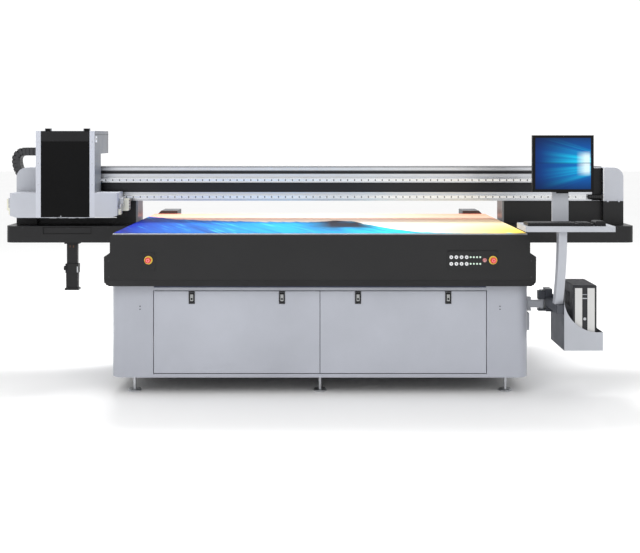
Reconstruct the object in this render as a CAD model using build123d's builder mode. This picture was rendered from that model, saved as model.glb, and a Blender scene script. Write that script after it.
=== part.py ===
"""Large-format flatbed UV printer with its operator station, as separate jointed pieces.

Row frame: +X to the operator's right, +Y to the back, +Z up. The origin is the sole of the
middle levelling foot, on the floor. Millimetres.
"""
from build123d import *
import os

# ---- overall machine
base_depth = 1810.0  # front of the fascia to the back of the skirt
fascia_y = -base_depth / 2
bed_width = 2600.0
bed_half = bed_width / 2
bed_length = 1560.0
bed_top_z = 1029.0
bed_thick = 29.0
bed_setback = 30.0  # bed edge behind the fascia front
board_thick = 3.0
board_margin = 4.0
sheet = 3.0  # sheet-metal covers
run_gap = 0.3  # between pieces that slide past each other
shaft_gap = 0.05  # radial clearance of running shafts

# ---- cabinet
cabinet_width = bed_width + 54
cabinet_depth = 1630.0
cabinet_bottom_z = 110.0
cabinet_top_z = 698.0
cabinet_corner_r = 80.0
frame_inset = 27.0  # from the cover's inner face to the frame
tube = 60.0
tube_wall = 4.0
frame_top_z = 867.0
table_beam_z = bed_top_z - bed_thick - tube

# ---- levelling feet
foot_pitch_x = bed_half - 105
foot_pitch_y = 700.0
foot_pad_r = 42.0
foot_pad_thick = 14.0
foot_stem_r = 10.0
foot_plate = 130.0
foot_plate_thick = 10.0

# ---- skirt round the table
skirt_half = bed_half + 51
skirt_bottom_z = cabinet_top_z
skirt_top_z = 1023.0
skirt_step_z = (886.0, 911.0)
skirt_neck_half = bed_half + 14
skirt_shoulder_half = bed_half
fascia_depth = 60.0
fascia_wall = 4.0
fascia_bevel = (25.0, 43.0)  # back, up
ledge_z = 870.0
channel_wall_x = bed_half - 85
rear_block = (bed_half - 180, bed_half - 25, 27.0)  # inner x, outer x, height above the bed

# ---- doors and latches
door_reach = bed_half - 247
door_gap = 2.0
door_z = (138.0, 657.0)
door_thick = 20.0
door_clear = 5.0
door_pivot = 8.0  # pivot line in from the door's front and bottom faces
hinge_pin_r = 4.0
hinge_knuckle_r = 6.5
hinge_inset = 130.0
hinge_arm_half = 20.0
latch_inner_x = 241.0
latch_outer_x = bed_half - 487
latch_w = 38.0
latch_h = 79.0
latch_proud = 5.0
paddle_thick = 9.0

# ---- control panel
panel_x = (bed_half - 503, bed_half - 188)
panel_z = (804.0, 926.0)
panel_thick = 3.0
button_x0 = bed_half - 480
button_pitch_x = 32.0
button_rows_z = (843.0, 884.5)
button_r = 8.3
button_bore_gap = 0.3
button_ring = 3.0
lamp_x0 = bed_half - 359
lamp_pitch_x = 20.0
lamp_r = 5.0
alarm_x = bed_half - 271
alarm_r = 12.0
panel_mid_z = 866.0
estop_right_x = bed_half - 219
estop_left_x = 228 - bed_half
estop_head_r = 19.0
estop_stem_r = 9.0
estop_collar_r = 26.0
estop_travel = 6.0
estop_plate = 92.0

# ---- Y drive
y_rail_x = bed_half + 25
y_rail_w = 23.0
y_rail_h = 22.0
y_rail_ends = (-835.0, 895.0)
screw_x = bed_half - 38
screw_z = 915.0
screw_r = 10.0
screw_y = (-690.0, 900.0)
motor_half = 38.0
motor_y = (-838.0, -700.0)

# ---- gantry
gantry_y = (95.0, 295.0)  # rail face and back of the beam
beam_half = bed_half + 743
beam_z = (1172.6, 1421.0)
beam_wall = 8.0
x_rail_z = (1201.0, 1323.0)
x_rail_h = 34.0
x_rail_d = 24.0
x_rail_half = beam_half - 118
upright_x = (bed_half + 21, bed_half + 58)
saddle_top_z = 925.0
saddle_plate = 13.0
saddle_y = (45.0, 345.0)
saddle_end_x = upright_x[1]
block_half_w = 28.0
lower_box_end = bed_half + 925
lower_box_z = (889.0, 1005.0)
lower_box_y = (-99.0, 330.0)
upper_box_end = bed_half + 890
upper_box_z = (1006.0, 1172.0)
upper_box_y = (90.0, 330.0)
cap_front_y = 55.0
cap_z = (1173.0, 1414.0)
cap_corner_r = 70.0

# ---- carriage and head
head_x = (53 - beam_half, 465 - beam_half)
head_y = (-161.0, 39.0)
head_z = (1069.0, 1678.0)
head_overhang_y = 290.0
head_overhang_z = 1515.0
head_edge = 35.0  # width of the light side frames
head_wall = 3.0
carriage_half = 135.0
carriage_y = (41.0, 52.0)
carriage_z = (1160.0, 1400.0)
block_y1 = 86.0
lamp_box_w = (181.0, 157.0)
lamp_box_h = 174.0
cover_thick = 4.0
cover_gap = 1.0
cover_pivot = (-152.0, 1687.0)  # y, z
cover_knuckle_r = 8.0
cover_pin_r = 3.0
hinge_cover_x = (head_x[0] + 86, head_x[1] - 56)

# ---- cable chain
chain_y = (300.0, 380.0)
chain_h = 60.0
chain_bend_r = (62.0, 174.0)  # upper and lower quarter of the loop
chain_top_z = 1526.0
chain_low_z = chain_top_z - sum(chain_bend_r)
chain_left_x = head_x[0] - 281

# ---- operator station
arm_pivot = (cabinet_width / 2 + 25, -655.0)
arm_z = (523.0, 582.0)
pivot_pin_r = 8.0
barrel_r = 17.0
bracket_z = (388.0, 606.0)
bracket_half = 45.0
ear_gap = 1.0
ear_thick = 14.0
turn_pivot = (arm_pivot[0] + 88, -655.0)
hub_x = (turn_pivot[0] - 25, turn_pivot[0] + 60)
hub_front_y = -1000.0
hub_z = (545.0, 600.0)
column_x = (turn_pivot[0] + 10, hub_x[1])
column_deep = 60.0
column_y = (-945.0, -1055.0)  # centre at its foot and at its top
tray_x = (turn_pivot[0] - 198, turn_pivot[0] + 345)
tray_y = (-1125.0, -840.0)
tray_z = (1062.0, 1095.0)
post_x = (turn_pivot[0] + 5, turn_pivot[0] + 107)
post_y = (-930.0, -914.0)
post_top_z = 1345.0
holder_x = (hub_x[1], turn_pivot[0] + 299)
holder_y = (-1011.0, -655.0)
holder_z = (322.0, 624.0)
holder_low_z = 437.0
holder_wall = 3.0
pc_size = (147.0, 280.0, 398.0)
pc_left_x = holder_x[0] + 57
pc_front_y = -995.0
screen_size = (378.0, 40.0, 351.0)
screen_centre = (turn_pivot[0] + 60, -965.0)
screen_bottom_z = 1295.0
tilt_pivot = (-922.0, 1370.0)
tilt_pin_r = 5.0
tilt_barrel_r = 11.0
keyboard_x = (tray_x[0] + 17, tray_x[0] + 415)
keyboard_y = (-1100.0, -965.0)
keyboard_thick = 16.0
mouse_x = (tray_x[0] + 426, tray_x[0] + 490)
mouse_y = (-1095.0, -990.0)

os.makedirs("parts", exist_ok=True)


def save(part, label):
    """Write one node."""
    part.label = label
    export_step(part, f"parts/{label}.step")


def group(pieces):
    """Several separate solids as one node."""
    return Compound([solid for piece in pieces for solid in piece.solids()])


def span_box(xs, ys, zs, mode=Mode.ADD):
    """A box between two opposite corners, in the part being built."""
    (x0, x1), (y0, y1), (z0, z1) = sorted(xs), sorted(ys), sorted(zs)
    with Locations(((x0 + x1) / 2, (y0 + y1) / 2, (z0 + z1) / 2)):
        Box(x1 - x0, y1 - y0, z1 - z0, mode=mode)


def rod(start, end, radius, mode=Mode.ADD):
    """A round bar between two points, in the part being built."""
    axis = Vector(*end) - Vector(*start)
    plane = Plane(origin=start, z_dir=axis)
    with Locations(plane.location):
        Cylinder(radius, axis.length, align=(Align.CENTER, Align.CENTER, Align.MIN), mode=mode)


def plain_box(xs, ys, zs):
    with BuildPart() as piece:
        span_box(xs, ys, zs)
    return piece.part


def mirrored_x(piece):
    """The same piece on the other side of the machine."""
    return mirror(piece, about=Plane.YZ)


def both_sides(piece):
    return [piece, mirrored_x(piece)]


# ================================================================ base machine
frame_half_x = cabinet_width / 2 - sheet - frame_inset
frame_half_y = cabinet_depth / 2 - sheet - frame_inset
bed_front_y = fascia_y + bed_setback
bed_back_y = bed_front_y + bed_length
bed_under_z = bed_top_z - bed_thick
frame_bottom_z = cabinet_bottom_z
front_plane_y = -cabinet_depth / 2


def square_tube(xs, ys, zs, along):
    """A square steel tube, open along one axis."""
    spans = [sorted(xs), sorted(ys), sorted(zs)]
    bore = [
        (low, high) if n == along else (low + tube_wall, high - tube_wall)
        for n, (low, high) in enumerate(spans)
    ]
    with BuildPart() as piece:
        span_box(*spans)
        span_box(*bore, mode=Mode.SUBTRACT)
    return piece.part


def frame_ring(z0):
    """Long rails at the front and back, with side and middle rails between them."""
    zs = (z0, z0 + tube)
    pieces = []
    for side in (-1, 1):
        ys = (side * frame_half_y, side * (frame_half_y - tube))
        pieces.append(square_tube((-frame_half_x, frame_half_x), ys, zs, 0))
        xs = (side * frame_half_x, side * (frame_half_x - tube))
        inner = frame_half_y - tube
        pieces.append(square_tube(xs, (-inner, inner), zs, 1))
        xs = (side * tube / 4, side * (tube / 4 + tube))
        pieces.append(square_tube(xs, (-inner, inner), zs, 1))
    return pieces


def make_base_frame():
    """Welded tube frame: two rings, six posts, table beams, rail beams and foot plates."""
    pieces = frame_ring(frame_bottom_z) + frame_ring(frame_top_z - tube)
    edge = frame_half_y - tube / 2
    for sy in (-1, 1):
        for x in (-frame_half_x + tube / 2, 0, frame_half_x - tube / 2):
            xs, ys = (x - tube / 2, x + tube / 2), (sy * edge - tube / 2, sy * edge + tube / 2)
            pieces.append(square_tube(xs, ys, (frame_bottom_z + tube, frame_top_z - tube), 2))
    beam_half_x = channel_wall_x - 2 * sheet
    for y in (-edge, -edge / 2, 0, edge / 2, bed_back_y - tube):
        ys = (y - tube / 2, y + tube / 2)
        pieces.append(square_tube((-beam_half_x, beam_half_x), ys, (table_beam_z, bed_under_z), 0))
        for x in (-beam_half_x + tube, -tube * 3 / 4, tube * 3 / 4, beam_half_x - tube):
            xs = (x - tube / 2, x + tube / 2)
            pieces.append(square_tube(xs, ys, (frame_top_z, table_beam_z), 2))
    for x in (-beam_half_x + tube, beam_half_x - tube):
        xs = (x - tube / 2, x + tube / 2)
        inner = edge - tube / 2
        pieces.append(square_tube(xs, (-inner, inner), (frame_top_z - tube, frame_top_z), 1))
    for side in (-1, 1):
        xs = (side * frame_half_x, side * (skirt_half - sheet))
        ys = (fascia_y + fascia_depth, base_depth / 2 - sheet)
        pieces.append(square_tube(xs, ys, (frame_top_z - tube, frame_top_z), 1))
    return pieces + [foot_plates()]


def foot_plates():
    """A plate under the rails at each foot, with a hole for its stem."""
    with BuildPart() as plates:
        with Locations((0, 0, frame_bottom_z - foot_plate_thick / 2)):
            with GridLocations(foot_pitch_x, foot_pitch_y, 3, 3):
                Box(foot_plate, foot_plate, foot_plate_thick)
                Cylinder(foot_stem_r + shaft_gap, foot_plate_thick, mode=Mode.SUBTRACT)
    return plates.part


def make_feet():
    """Nine pads on threaded stems, each with its lock nut."""
    with BuildPart() as foot:
        Cylinder(foot_pad_r, foot_pad_thick, align=(Align.CENTER, Align.CENTER, Align.MIN))
        chamfer(foot.faces().sort_by(Axis.Z)[-1].edges(), foot_pad_thick / 3)
        top = frame_bottom_z
        rod((0, 0, foot_pad_thick), (0, 0, top), foot_stem_r)
        nut_top = frame_bottom_z - foot_plate_thick
        with BuildSketch(Plane.XY.offset(nut_top - foot_stem_r)):
            RegularPolygon(foot_stem_r * 1.7, 6)
        extrude(amount=foot_stem_r)
    return [foot.part.moved(place) for place in GridLocations(foot_pitch_x, foot_pitch_y, 3, 3)]


def tray_panel(xs, ys, zs, open_face):
    """A sheet-metal cover with its edges turned in: a box open on one side."""
    spans = [list(sorted(span)) for span in (xs, ys, zs)]
    hollow = [[low + sheet, high - sheet] for low, high in spans]
    axis, side = open_face
    hollow[axis][side] = spans[axis][side]
    with BuildPart() as piece:
        span_box(*spans)
        span_box(*hollow, mode=Mode.SUBTRACT)
    return piece.part


cover_z = (cabinet_bottom_z, cabinet_top_z)
cover_depth = sheet + frame_inset
straight_x = cabinet_width / 2 - cabinet_corner_r
straight_y = cabinet_depth / 2 - cabinet_corner_r


def make_corner_panels():
    """Quarter-round covers at the four vertical corners."""
    with BuildPart() as corner:
        with BuildSketch(Plane.XY.offset(cabinet_bottom_z)):
            with Locations((straight_x, straight_y)):
                Circle(cabinet_corner_r)
                Circle(cabinet_corner_r - sheet, mode=Mode.SUBTRACT)
                Rectangle(2 * cabinet_corner_r, cabinet_corner_r,
                          align=(Align.CENTER, Align.MAX), mode=Mode.SUBTRACT)
                Rectangle(cabinet_corner_r, 2 * cabinet_corner_r,
                          align=(Align.MAX, Align.CENTER), mode=Mode.SUBTRACT)
        extrude(amount=cabinet_top_z - cabinet_bottom_z)
    front = mirror(corner.part, about=Plane.XZ)
    return both_sides(corner.part) + both_sides(front)


def make_side_panels():
    xs = (cabinet_width / 2 - cover_depth, cabinet_width / 2)
    return both_sides(tray_panel(xs, (-straight_y, straight_y), cover_z, (0, 0)))


def make_rear_panel():
    ys = (cabinet_depth / 2 - cover_depth, cabinet_depth / 2)
    return [tray_panel((-straight_x, straight_x), ys, cover_z, (1, 0))]


door_opening_half = door_reach + door_clear
door_opening_z = (door_z[0] - door_clear, door_z[1] + door_clear)
door_back_y = front_plane_y + door_thick
pivot_y = front_plane_y + door_pivot
pivot_z = door_z[0] + door_pivot


def hinge_centres():
    """The two hinge places of each door, left door first."""
    left = (-door_reach + hinge_inset, -door_gap - hinge_inset)
    return [left, tuple(-x for x in left)]


def door_hinge(x):
    """A pin held by an arm that comes forward from the bottom rail."""
    with BuildPart() as hinge:
        rod((x - hinge_arm_half * 2, pivot_y, pivot_z), (x + hinge_arm_half * 2, pivot_y, pivot_z),
            hinge_pin_r)
        span_box((x - hinge_arm_half, x + hinge_arm_half), (pivot_y, -frame_half_y),
                 (pivot_z - hinge_pin_r, pivot_z + hinge_pin_r))
    return hinge.part


def make_door_surround():
    """The fixed front covers round the door opening, and the door hinges' fixed halves."""
    ys = (front_plane_y, front_plane_y + cover_depth)
    stile = tray_panel((door_opening_half, straight_x), ys, cover_z, (1, 1))
    across = (-door_opening_half, door_opening_half)
    low = (cabinet_bottom_z, door_opening_z[0])
    pieces = both_sides(stile)
    pieces.append(plain_box(across, (front_plane_y, front_plane_y + sheet), low))
    pieces.append(tray_panel(across, ys, (door_opening_z[1], cabinet_top_z), (1, 1)))
    for pair in hinge_centres():
        pieces += [door_hinge(x) for x in pair]
    strip_z = (cabinet_top_z - 17, cabinet_top_z)
    reach = door_reach
    pieces.append(plain_box((-reach, reach), (front_plane_y - 2, front_plane_y), strip_z))
    return pieces


# ---------------------------------------------------------------- skirt and table
def outline_right():
    """Half of the fascia's front outline, from the top middle round to the bottom middle."""
    low, high = skirt_step_z
    return [
        (0, skirt_top_z),
        (skirt_shoulder_half, skirt_top_z),
        (skirt_neck_half, skirt_top_z - (skirt_neck_half - skirt_shoulder_half)),
        (skirt_neck_half, high),
        (skirt_half, low),
        (skirt_half, skirt_bottom_z + fascia_bevel[0]),
        (skirt_half - fascia_bevel[0], skirt_bottom_z),
        (0, skirt_bottom_z),
    ]


def fascia_outline(shrink=0.0):
    """The whole outline as a closed wire, drawn on the fascia's front plane."""
    right = [(x - shrink if x else 0, z) for x, z in outline_right()]
    top = max(z for _, z in right)
    right = [(x, z - shrink if z == top else z) for x, z in right]
    right = [(x, z + shrink if z == skirt_bottom_z else z) for x, z in right]
    left = [(-x, z) for x, z in reversed(right) if x]
    Polyline(*right, *left, close=True)


def switch_places():
    """Centres of the push buttons, row by row from the lower row."""
    return [(button_x0 + n * button_pitch_x, z) for z in button_rows_z for n in range(4)]


def lamp_places():
    return [(lamp_x0 + n * lamp_pitch_x, z) for z in button_rows_z for n in range(4)]


estop_places = [(estop_left_x, panel_mid_z), (estop_right_x, panel_mid_z)]
button_ring_r = button_r + button_ring
button_barrel_r = button_r + button_bore_gap + 1.4


def bore_y(x, z, radius, y0, y1):
    rod((x, y0, z), (x, y1, z), radius, mode=Mode.SUBTRACT)


def control_holes(y0, y1, gap):
    """Holes for every control, through whatever stands between two depths."""
    for x, z in switch_places():
        bore_y(x, z, button_barrel_r + gap, y0, y1)
    for x, z in lamp_places():
        bore_y(x, z, lamp_r + gap, y0, y1)
    bore_y(alarm_x, panel_mid_z, alarm_r + gap, y0, y1)
    bore_y(estop_right_x, panel_mid_z, estop_stem_r + 3 + gap, y0, y1)
    bore_y(estop_left_x, panel_mid_z, estop_stem_r + 3 + gap, y0, y1)


def make_fascia():
    """The black front: a deep folded sheet, bevelled along its lower edge."""
    front = Plane(origin=(0, fascia_y, 0), x_dir=(1, 0, 0), z_dir=(0, -1, 0))
    with BuildPart() as fascia:
        with BuildSketch(front):
            with BuildLine():
                fascia_outline()
            make_face()
        extrude(amount=-fascia_depth)
        back, up = fascia_bevel
        with BuildSketch(Plane.YZ.offset(-skirt_half)):
            with Locations((fascia_y, skirt_bottom_z)):
                Polygon((0, 0), (back, 0), (0, up), align=None)
        extrude(amount=2 * skirt_half, mode=Mode.SUBTRACT)
        with BuildSketch(front.offset(-fascia_wall - back)):
            with BuildLine():
                fascia_outline(fascia_wall)
            make_face()
        extrude(amount=-fascia_depth, mode=Mode.SUBTRACT)
        inner = skirt_neck_half - fascia_wall
        span_box((-inner, inner), (fascia_y + fascia_wall, fascia_y + fascia_depth),
                 (skirt_bottom_z + up, skirt_top_z - fascia_wall), mode=Mode.SUBTRACT)
        reach = bed_width / 2 + 2
        span_box((-reach, reach), (bed_front_y - 1, fascia_y + fascia_depth),
                 (bed_under_z - 1, skirt_top_z + 1), mode=Mode.SUBTRACT)
        control_holes(fascia_y - 1, fascia_y + fascia_wall + 1, 0.2)
    return [fascia.part]


def make_skirt_sides():
    """Sheet walls below and above the rail ledge, one of each per side."""
    ys = (fascia_y + fascia_depth, base_depth / 2 - sheet)
    wall = plain_box((skirt_half - sheet, skirt_half), ys, (skirt_bottom_z, ledge_z))
    ledge = plain_box((channel_wall_x, skirt_half - sheet), ys, (frame_top_z, ledge_z))
    inner = plain_box((channel_wall_x - sheet, channel_wall_x), ys, (frame_top_z, bed_under_z))
    return both_sides(wall) + both_sides(ledge) + both_sides(inner)


def make_rear_skirt():
    """Back covers, the deck behind the table and its two raised corner blocks."""
    back = (base_depth / 2 - sheet, base_depth / 2)
    low = plain_box((-skirt_half, skirt_half), back, (skirt_bottom_z, ledge_z))
    high = plain_box((-channel_wall_x, channel_wall_x), back, (ledge_z, bed_under_z))
    inner, outer, rise = rear_block
    deck_y = (bed_back_y + sheet, base_depth / 2)
    deck = plain_box((-channel_wall_x, channel_wall_x), deck_y, (bed_under_z, bed_under_z + sheet))
    with BuildPart() as block:
        base = bed_under_z + sheet
        span_box((inner, outer), deck_y, (base, bed_top_z + rise))
        slope = block.faces().sort_by(Axis.X)[-1].edges().sort_by(Axis.Z)[-1]
        chamfer(slope, rise)
    return [low, high, deck] + both_sides(block.part)


def make_vacuum_table():
    half = bed_width / 2
    with BuildPart() as table:
        span_box((-half, half), (bed_front_y, bed_back_y), (bed_under_z, bed_top_z))
        fillet(table.edges().filter_by(Axis.Z), 6)
        chamfer(table.faces().sort_by(Axis.Z)[-1].edges(), 2)
    return [table.part]


def make_board():
    half = bed_width / 2 - board_margin
    ys = (bed_front_y + board_margin, bed_back_y - board_margin)
    return [plain_box((-half, half), ys, (bed_top_z, bed_top_z + board_thick))]


def make_y_rails():
    xs = (y_rail_x - y_rail_w / 2, y_rail_x + y_rail_w / 2)
    return both_sides(plain_box(xs, y_rail_ends, (ledge_z, ledge_z + y_rail_h)))


def make_y_motors():
    """A motor with a bearing block at the front of each screw, and a block at its back."""
    with BuildPart() as motor:
        span_box((screw_x - motor_half, screw_x + motor_half), motor_y,
                 (screw_z - motor_half, screw_z + motor_half))
        fillet(motor.edges().filter_by(Axis.Y), 6)
        span_box((screw_x - motor_half, screw_x + motor_half), (motor_y[1], motor_y[1] + 30),
                 (ledge_z, screw_z + 30))
        bore_y(screw_x, screw_z, screw_r + shaft_gap, screw_y[0] - 2, motor_y[1] + 31)
    with BuildPart() as tail:
        span_box((screw_x - 30, screw_x + 30), (screw_y[1] - 14, screw_y[1]),
                 (ledge_z, screw_z + 30))
        bore_y(screw_x, screw_z, screw_r + shaft_gap, screw_y[1] - 15, screw_y[1] + 1)
    return both_sides(motor.part) + both_sides(tail.part)


def make_y_screw():
    with BuildPart() as screw:
        rod((screw_x, screw_y[0], screw_z), (screw_x, screw_y[1], screw_z), screw_r)
    return screw.part


# ---------------------------------------------------------------- controls
plate_front_y = fascia_y - panel_thick


def make_control_plate():
    with BuildPart() as plate:
        span_box(panel_x, (plate_front_y, fascia_y), panel_z)
        control_holes(plate_front_y - 1, fascia_y + 1, 0.2)
    with BuildPart() as left:
        half = estop_plate / 2
        span_box((estop_left_x - half, estop_left_x + half), (plate_front_y, fascia_y),
                 (panel_mid_z - 62, panel_mid_z + half))
        bore_y(estop_left_x, panel_mid_z, estop_stem_r + 3.2, plate_front_y - 1, fascia_y + 1)
    return [plate.part, left.part]


def make_button_housings():
    """A ring with a closed barrel behind it for every push button."""
    pieces = []
    for x, z in switch_places():
        with BuildPart() as housing:
            rod((x, plate_front_y - 2.5, z), (x, plate_front_y, z), button_ring_r)
            rod((x, plate_front_y, z), (x, fascia_y + 26, z), button_barrel_r)
            bore_y(x, z, button_r + button_bore_gap, plate_front_y - 3, fascia_y + 24)
        pieces.append(housing.part)
    return pieces


def make_panel_lamps():
    pieces = []
    for x, z, r in [(x, z, lamp_r) for x, z in lamp_places()] + [(alarm_x, panel_mid_z, alarm_r)]:
        with BuildPart() as lamp:
            rod((x, plate_front_y - 2, z), (x, fascia_y + 12, z), r)
            rod((x, plate_front_y - 1, z), (x, plate_front_y, z), r + 1)
        pieces.append(lamp.part)
    return pieces


def make_estop_collars():
    pieces = []
    for x, z in estop_places:
        with BuildPart() as collar:
            rod((x, plate_front_y - 6, z), (x, plate_front_y, z), estop_collar_r)
            chamfer(collar.faces().sort_by(Axis.Y)[0].edges(), 2)
            rod((x, plate_front_y, z), (x, fascia_y + 30, z), estop_stem_r + 3)
            bore_y(x, z, estop_stem_r + button_bore_gap, plate_front_y - 7, fascia_y + 28)
        pieces.append(collar.part)
    return pieces


def make_button(x, z):
    with BuildPart() as button:
        rod((x, plate_front_y - 6, z), (x, fascia_y + 18, z), button_r)
        fillet(button.faces().sort_by(Axis.Y)[0].edges(), 1)
    return button.part


def make_estop(x, z):
    """A mushroom head on a stem."""
    head_back = plate_front_y - 6 - estop_travel - 1
    with BuildPart() as knob:
        rod((x, head_back - 14, z), (x, head_back, z), estop_head_r)
        fillet(knob.faces().sort_by(Axis.Y)[0].edges(), 5)
        rod((x, head_back, z), (x, fascia_y + 20, z), estop_stem_r)
    return knob.part


# ---------------------------------------------------------------- doors
latch_top_z = door_z[1]
paddle_w = latch_w - 10
paddle_pin_r = 2.0
paddle_pivot_z = latch_top_z - 14
paddle_pivot_y = front_plane_y - latch_proud + 3.5


def make_door(side):
    """A pan-shaped door with two hinge knuckles and the frames of its two latches."""
    xs = (side * door_gap, side * door_reach)
    ys = (front_plane_y, door_back_y)
    pair = hinge_centres()[0 if side < 0 else 1]
    with BuildPart() as door:
        span_box(xs, ys, door_z)
        inner_x = [side * (door_gap + sheet), side * (door_reach - sheet)]
        span_box(inner_x, (front_plane_y + sheet, door_back_y),
                 (door_z[0] + sheet, door_z[1] - sheet), mode=Mode.SUBTRACT)
        for x in pair:
            reach = hinge_arm_half + 1.5
            span_box((x - reach, x + reach), (front_plane_y + sheet, door_back_y + 1),
                     (door_z[0], door_z[0] + sheet + 1), mode=Mode.SUBTRACT)
            for end in (-1, 1):
                inner, outer = x + end * reach, x + end * (hinge_arm_half * 2 + 2)
                rod((inner, pivot_y, pivot_z), (outer, pivot_y, pivot_z), hinge_knuckle_r)
                rod((inner, pivot_y, pivot_z), (outer, pivot_y, pivot_z),
                    hinge_pin_r + shaft_gap, mode=Mode.SUBTRACT)
        for x in (side * latch_inner_x, side * latch_outer_x):
            latch_frame(x)
    return door.part


def latch_frame(x):
    """A raised frame with a pocket for its paddle and a pin across the top."""
    span_box((x - latch_w / 2, x + latch_w / 2), (front_plane_y - latch_proud, front_plane_y),
             (latch_top_z - latch_h, latch_top_z))
    half = paddle_w / 2 + 1
    span_box((x - half, x + half), (front_plane_y - latch_proud - 1, front_plane_y + 12),
             (latch_top_z - latch_h + 8, latch_top_z - 6), mode=Mode.SUBTRACT)
    wall = 2.0
    span_box((x - half - wall, x + half + wall), (front_plane_y + sheet, front_plane_y + 12 + wall),
             (latch_top_z - latch_h + 8 - wall, latch_top_z - 6 + wall))
    span_box((x - half, x + half), (front_plane_y - latch_proud - 1, front_plane_y + 12),
             (latch_top_z - latch_h + 8, latch_top_z - 6), mode=Mode.SUBTRACT)
    rod((x - half, paddle_pivot_y, paddle_pivot_z), (x + half, paddle_pivot_y, paddle_pivot_z),
        paddle_pin_r)


def make_paddle(x):
    """The pull of a latch: a flat lever round its pin."""
    half = paddle_w / 2
    front = front_plane_y - latch_proud
    with BuildPart() as paddle:
        span_box((x - half, x + half), (front, front + paddle_thick - 2),
                 (latch_top_z - latch_h + 10, paddle_pivot_z))
        rod((x - half, paddle_pivot_y, paddle_pivot_z), (x + half, paddle_pivot_y, paddle_pivot_z), 3.5)
        rod((x - half, paddle_pivot_y, paddle_pivot_z), (x + half, paddle_pivot_y, paddle_pivot_z),
            paddle_pin_r + shaft_gap, mode=Mode.SUBTRACT)
    return paddle.part


# ================================================================ gantry
def make_gantry_beam():
    """The cross beam: a hollow extrusion, grooved along its front."""
    y0, y1 = gantry_y
    low, high = beam_z
    lower_rail, upper_rail = x_rail_z
    seat = x_rail_h / 2
    ridge, groove, deep = 7.0, 10.0, 20.0
    profile = [
        (y0, low), (y0, lower_rail + seat), (y0 - ridge, lower_rail + seat),
        (y0 - ridge, lower_rail + seat + 17), (y0 + deep, lower_rail + seat + 19),
        (y0 + deep, upper_rail - seat - 2), (y0, upper_rail - seat), (y0, upper_rail + seat + 5),
        (y0 - ridge, upper_rail + seat + 5), (y0 - ridge, upper_rail + seat + 28),
        (y0 + groove, upper_rail + seat + 29), (y0 + groove, high - 33), (y0, high - 32),
        (y0, high), (y1, high), (y1, low),
    ]
    with BuildPart() as beam:
        with BuildSketch(Plane.YZ.offset(-beam_half)):
            with BuildLine():
                Polyline(*profile, close=True)
            make_face()
        extrude(amount=2 * beam_half)
        span_box((-beam_half, beam_half), (y0 + deep + beam_wall, y1 - beam_wall),
                 (low + beam_wall, high - beam_wall), mode=Mode.SUBTRACT)
    return [beam.part]


def make_x_rails():
    ys = (gantry_y[0] - x_rail_d, gantry_y[0])
    half = x_rail_h / 2
    return [plain_box((-x_rail_half, x_rail_half), ys, (z - half, z + half)) for z in x_rail_z]


def make_end_caps():
    """Covers over the beam's ends, with a buffer standing out of the right one."""
    xs = (beam_half, upper_box_end)
    ys = (cap_front_y, gantry_y[1])
    with BuildPart() as cap:
        span_box(xs, ys, cap_z)
        top = cap.faces().sort_by(Axis.X)[-1].edges().sort_by(Axis.Z)[-1]
        fillet(top, cap_corner_r)
        open_face = cap.faces().sort_by(Axis.X)[0]
        offset(amount=-sheet, openings=open_face)
    buffer_r, buffer_y = 17.0, cap_front_y + 9
    with BuildPart() as buffer:
        rod((x_rail_half + 20, buffer_y, x_rail_z[0]), (beam_half, buffer_y, x_rail_z[0]), buffer_r)
        span_box((beam_half - 12, beam_half), (buffer_y - 18, gantry_y[0]),
                 (x_rail_z[0] - 24, x_rail_z[0] + buffer_r))
    return both_sides(cap.part) + [buffer.part]


def make_upper_boxes():
    """Electronics housings under the beam's ends; the outer part stands forward."""
    x0, x1 = upright_x[1], upper_box_end
    with BuildPart() as box:
        span_box((x0, x1), upper_box_y, upper_box_z)
        span_box((beam_half, x1), (cap_front_y, upper_box_y[0]), upper_box_z)
        span_box((x0 + sheet, x1 - sheet), (upper_box_y[0] + sheet, upper_box_y[1]),
                 (upper_box_z[0] + sheet, upper_box_z[1] - sheet), mode=Mode.SUBTRACT)
    front = plain_box((upright_x[0] + 14, x0), (upper_box_y[0], gantry_y[0]), upper_box_z)
    return both_sides(box.part) + both_sides(front)


def make_lower_boxes():
    """The wide black housings at bed height, rounded at their outer corners."""
    drawer_x, drawer_z = (beam_half - 427, beam_half - 87), (950.0, 999.0)
    with BuildPart() as box:
        span_box((saddle_end_x, lower_box_end), lower_box_y, lower_box_z)
        fillet(box.faces().sort_by(Axis.X)[-1].edges().filter_by(Axis.Z), 60)
        span_box((saddle_end_x + sheet, lower_box_end - 60),
                 (lower_box_y[0] + sheet * 4, lower_box_y[1]),
                 (lower_box_z[0] + sheet, lower_box_z[1] - sheet), mode=Mode.SUBTRACT)
    left = mirrored_x(box.part)
    with BuildPart() as drawered:
        add(left)
        span_box((-drawer_x[1], -drawer_x[0]), (lower_box_y[0], lower_box_y[0] + 4), drawer_z,
                 mode=Mode.SUBTRACT)
    return [box.part, drawered.part]


def make_uprights():
    """Hollow legs that carry the beam clear of the table's edge."""
    zs = (saddle_top_z, beam_z[0])
    return both_sides(square_tube(upright_x, gantry_y, zs, 2))


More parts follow.
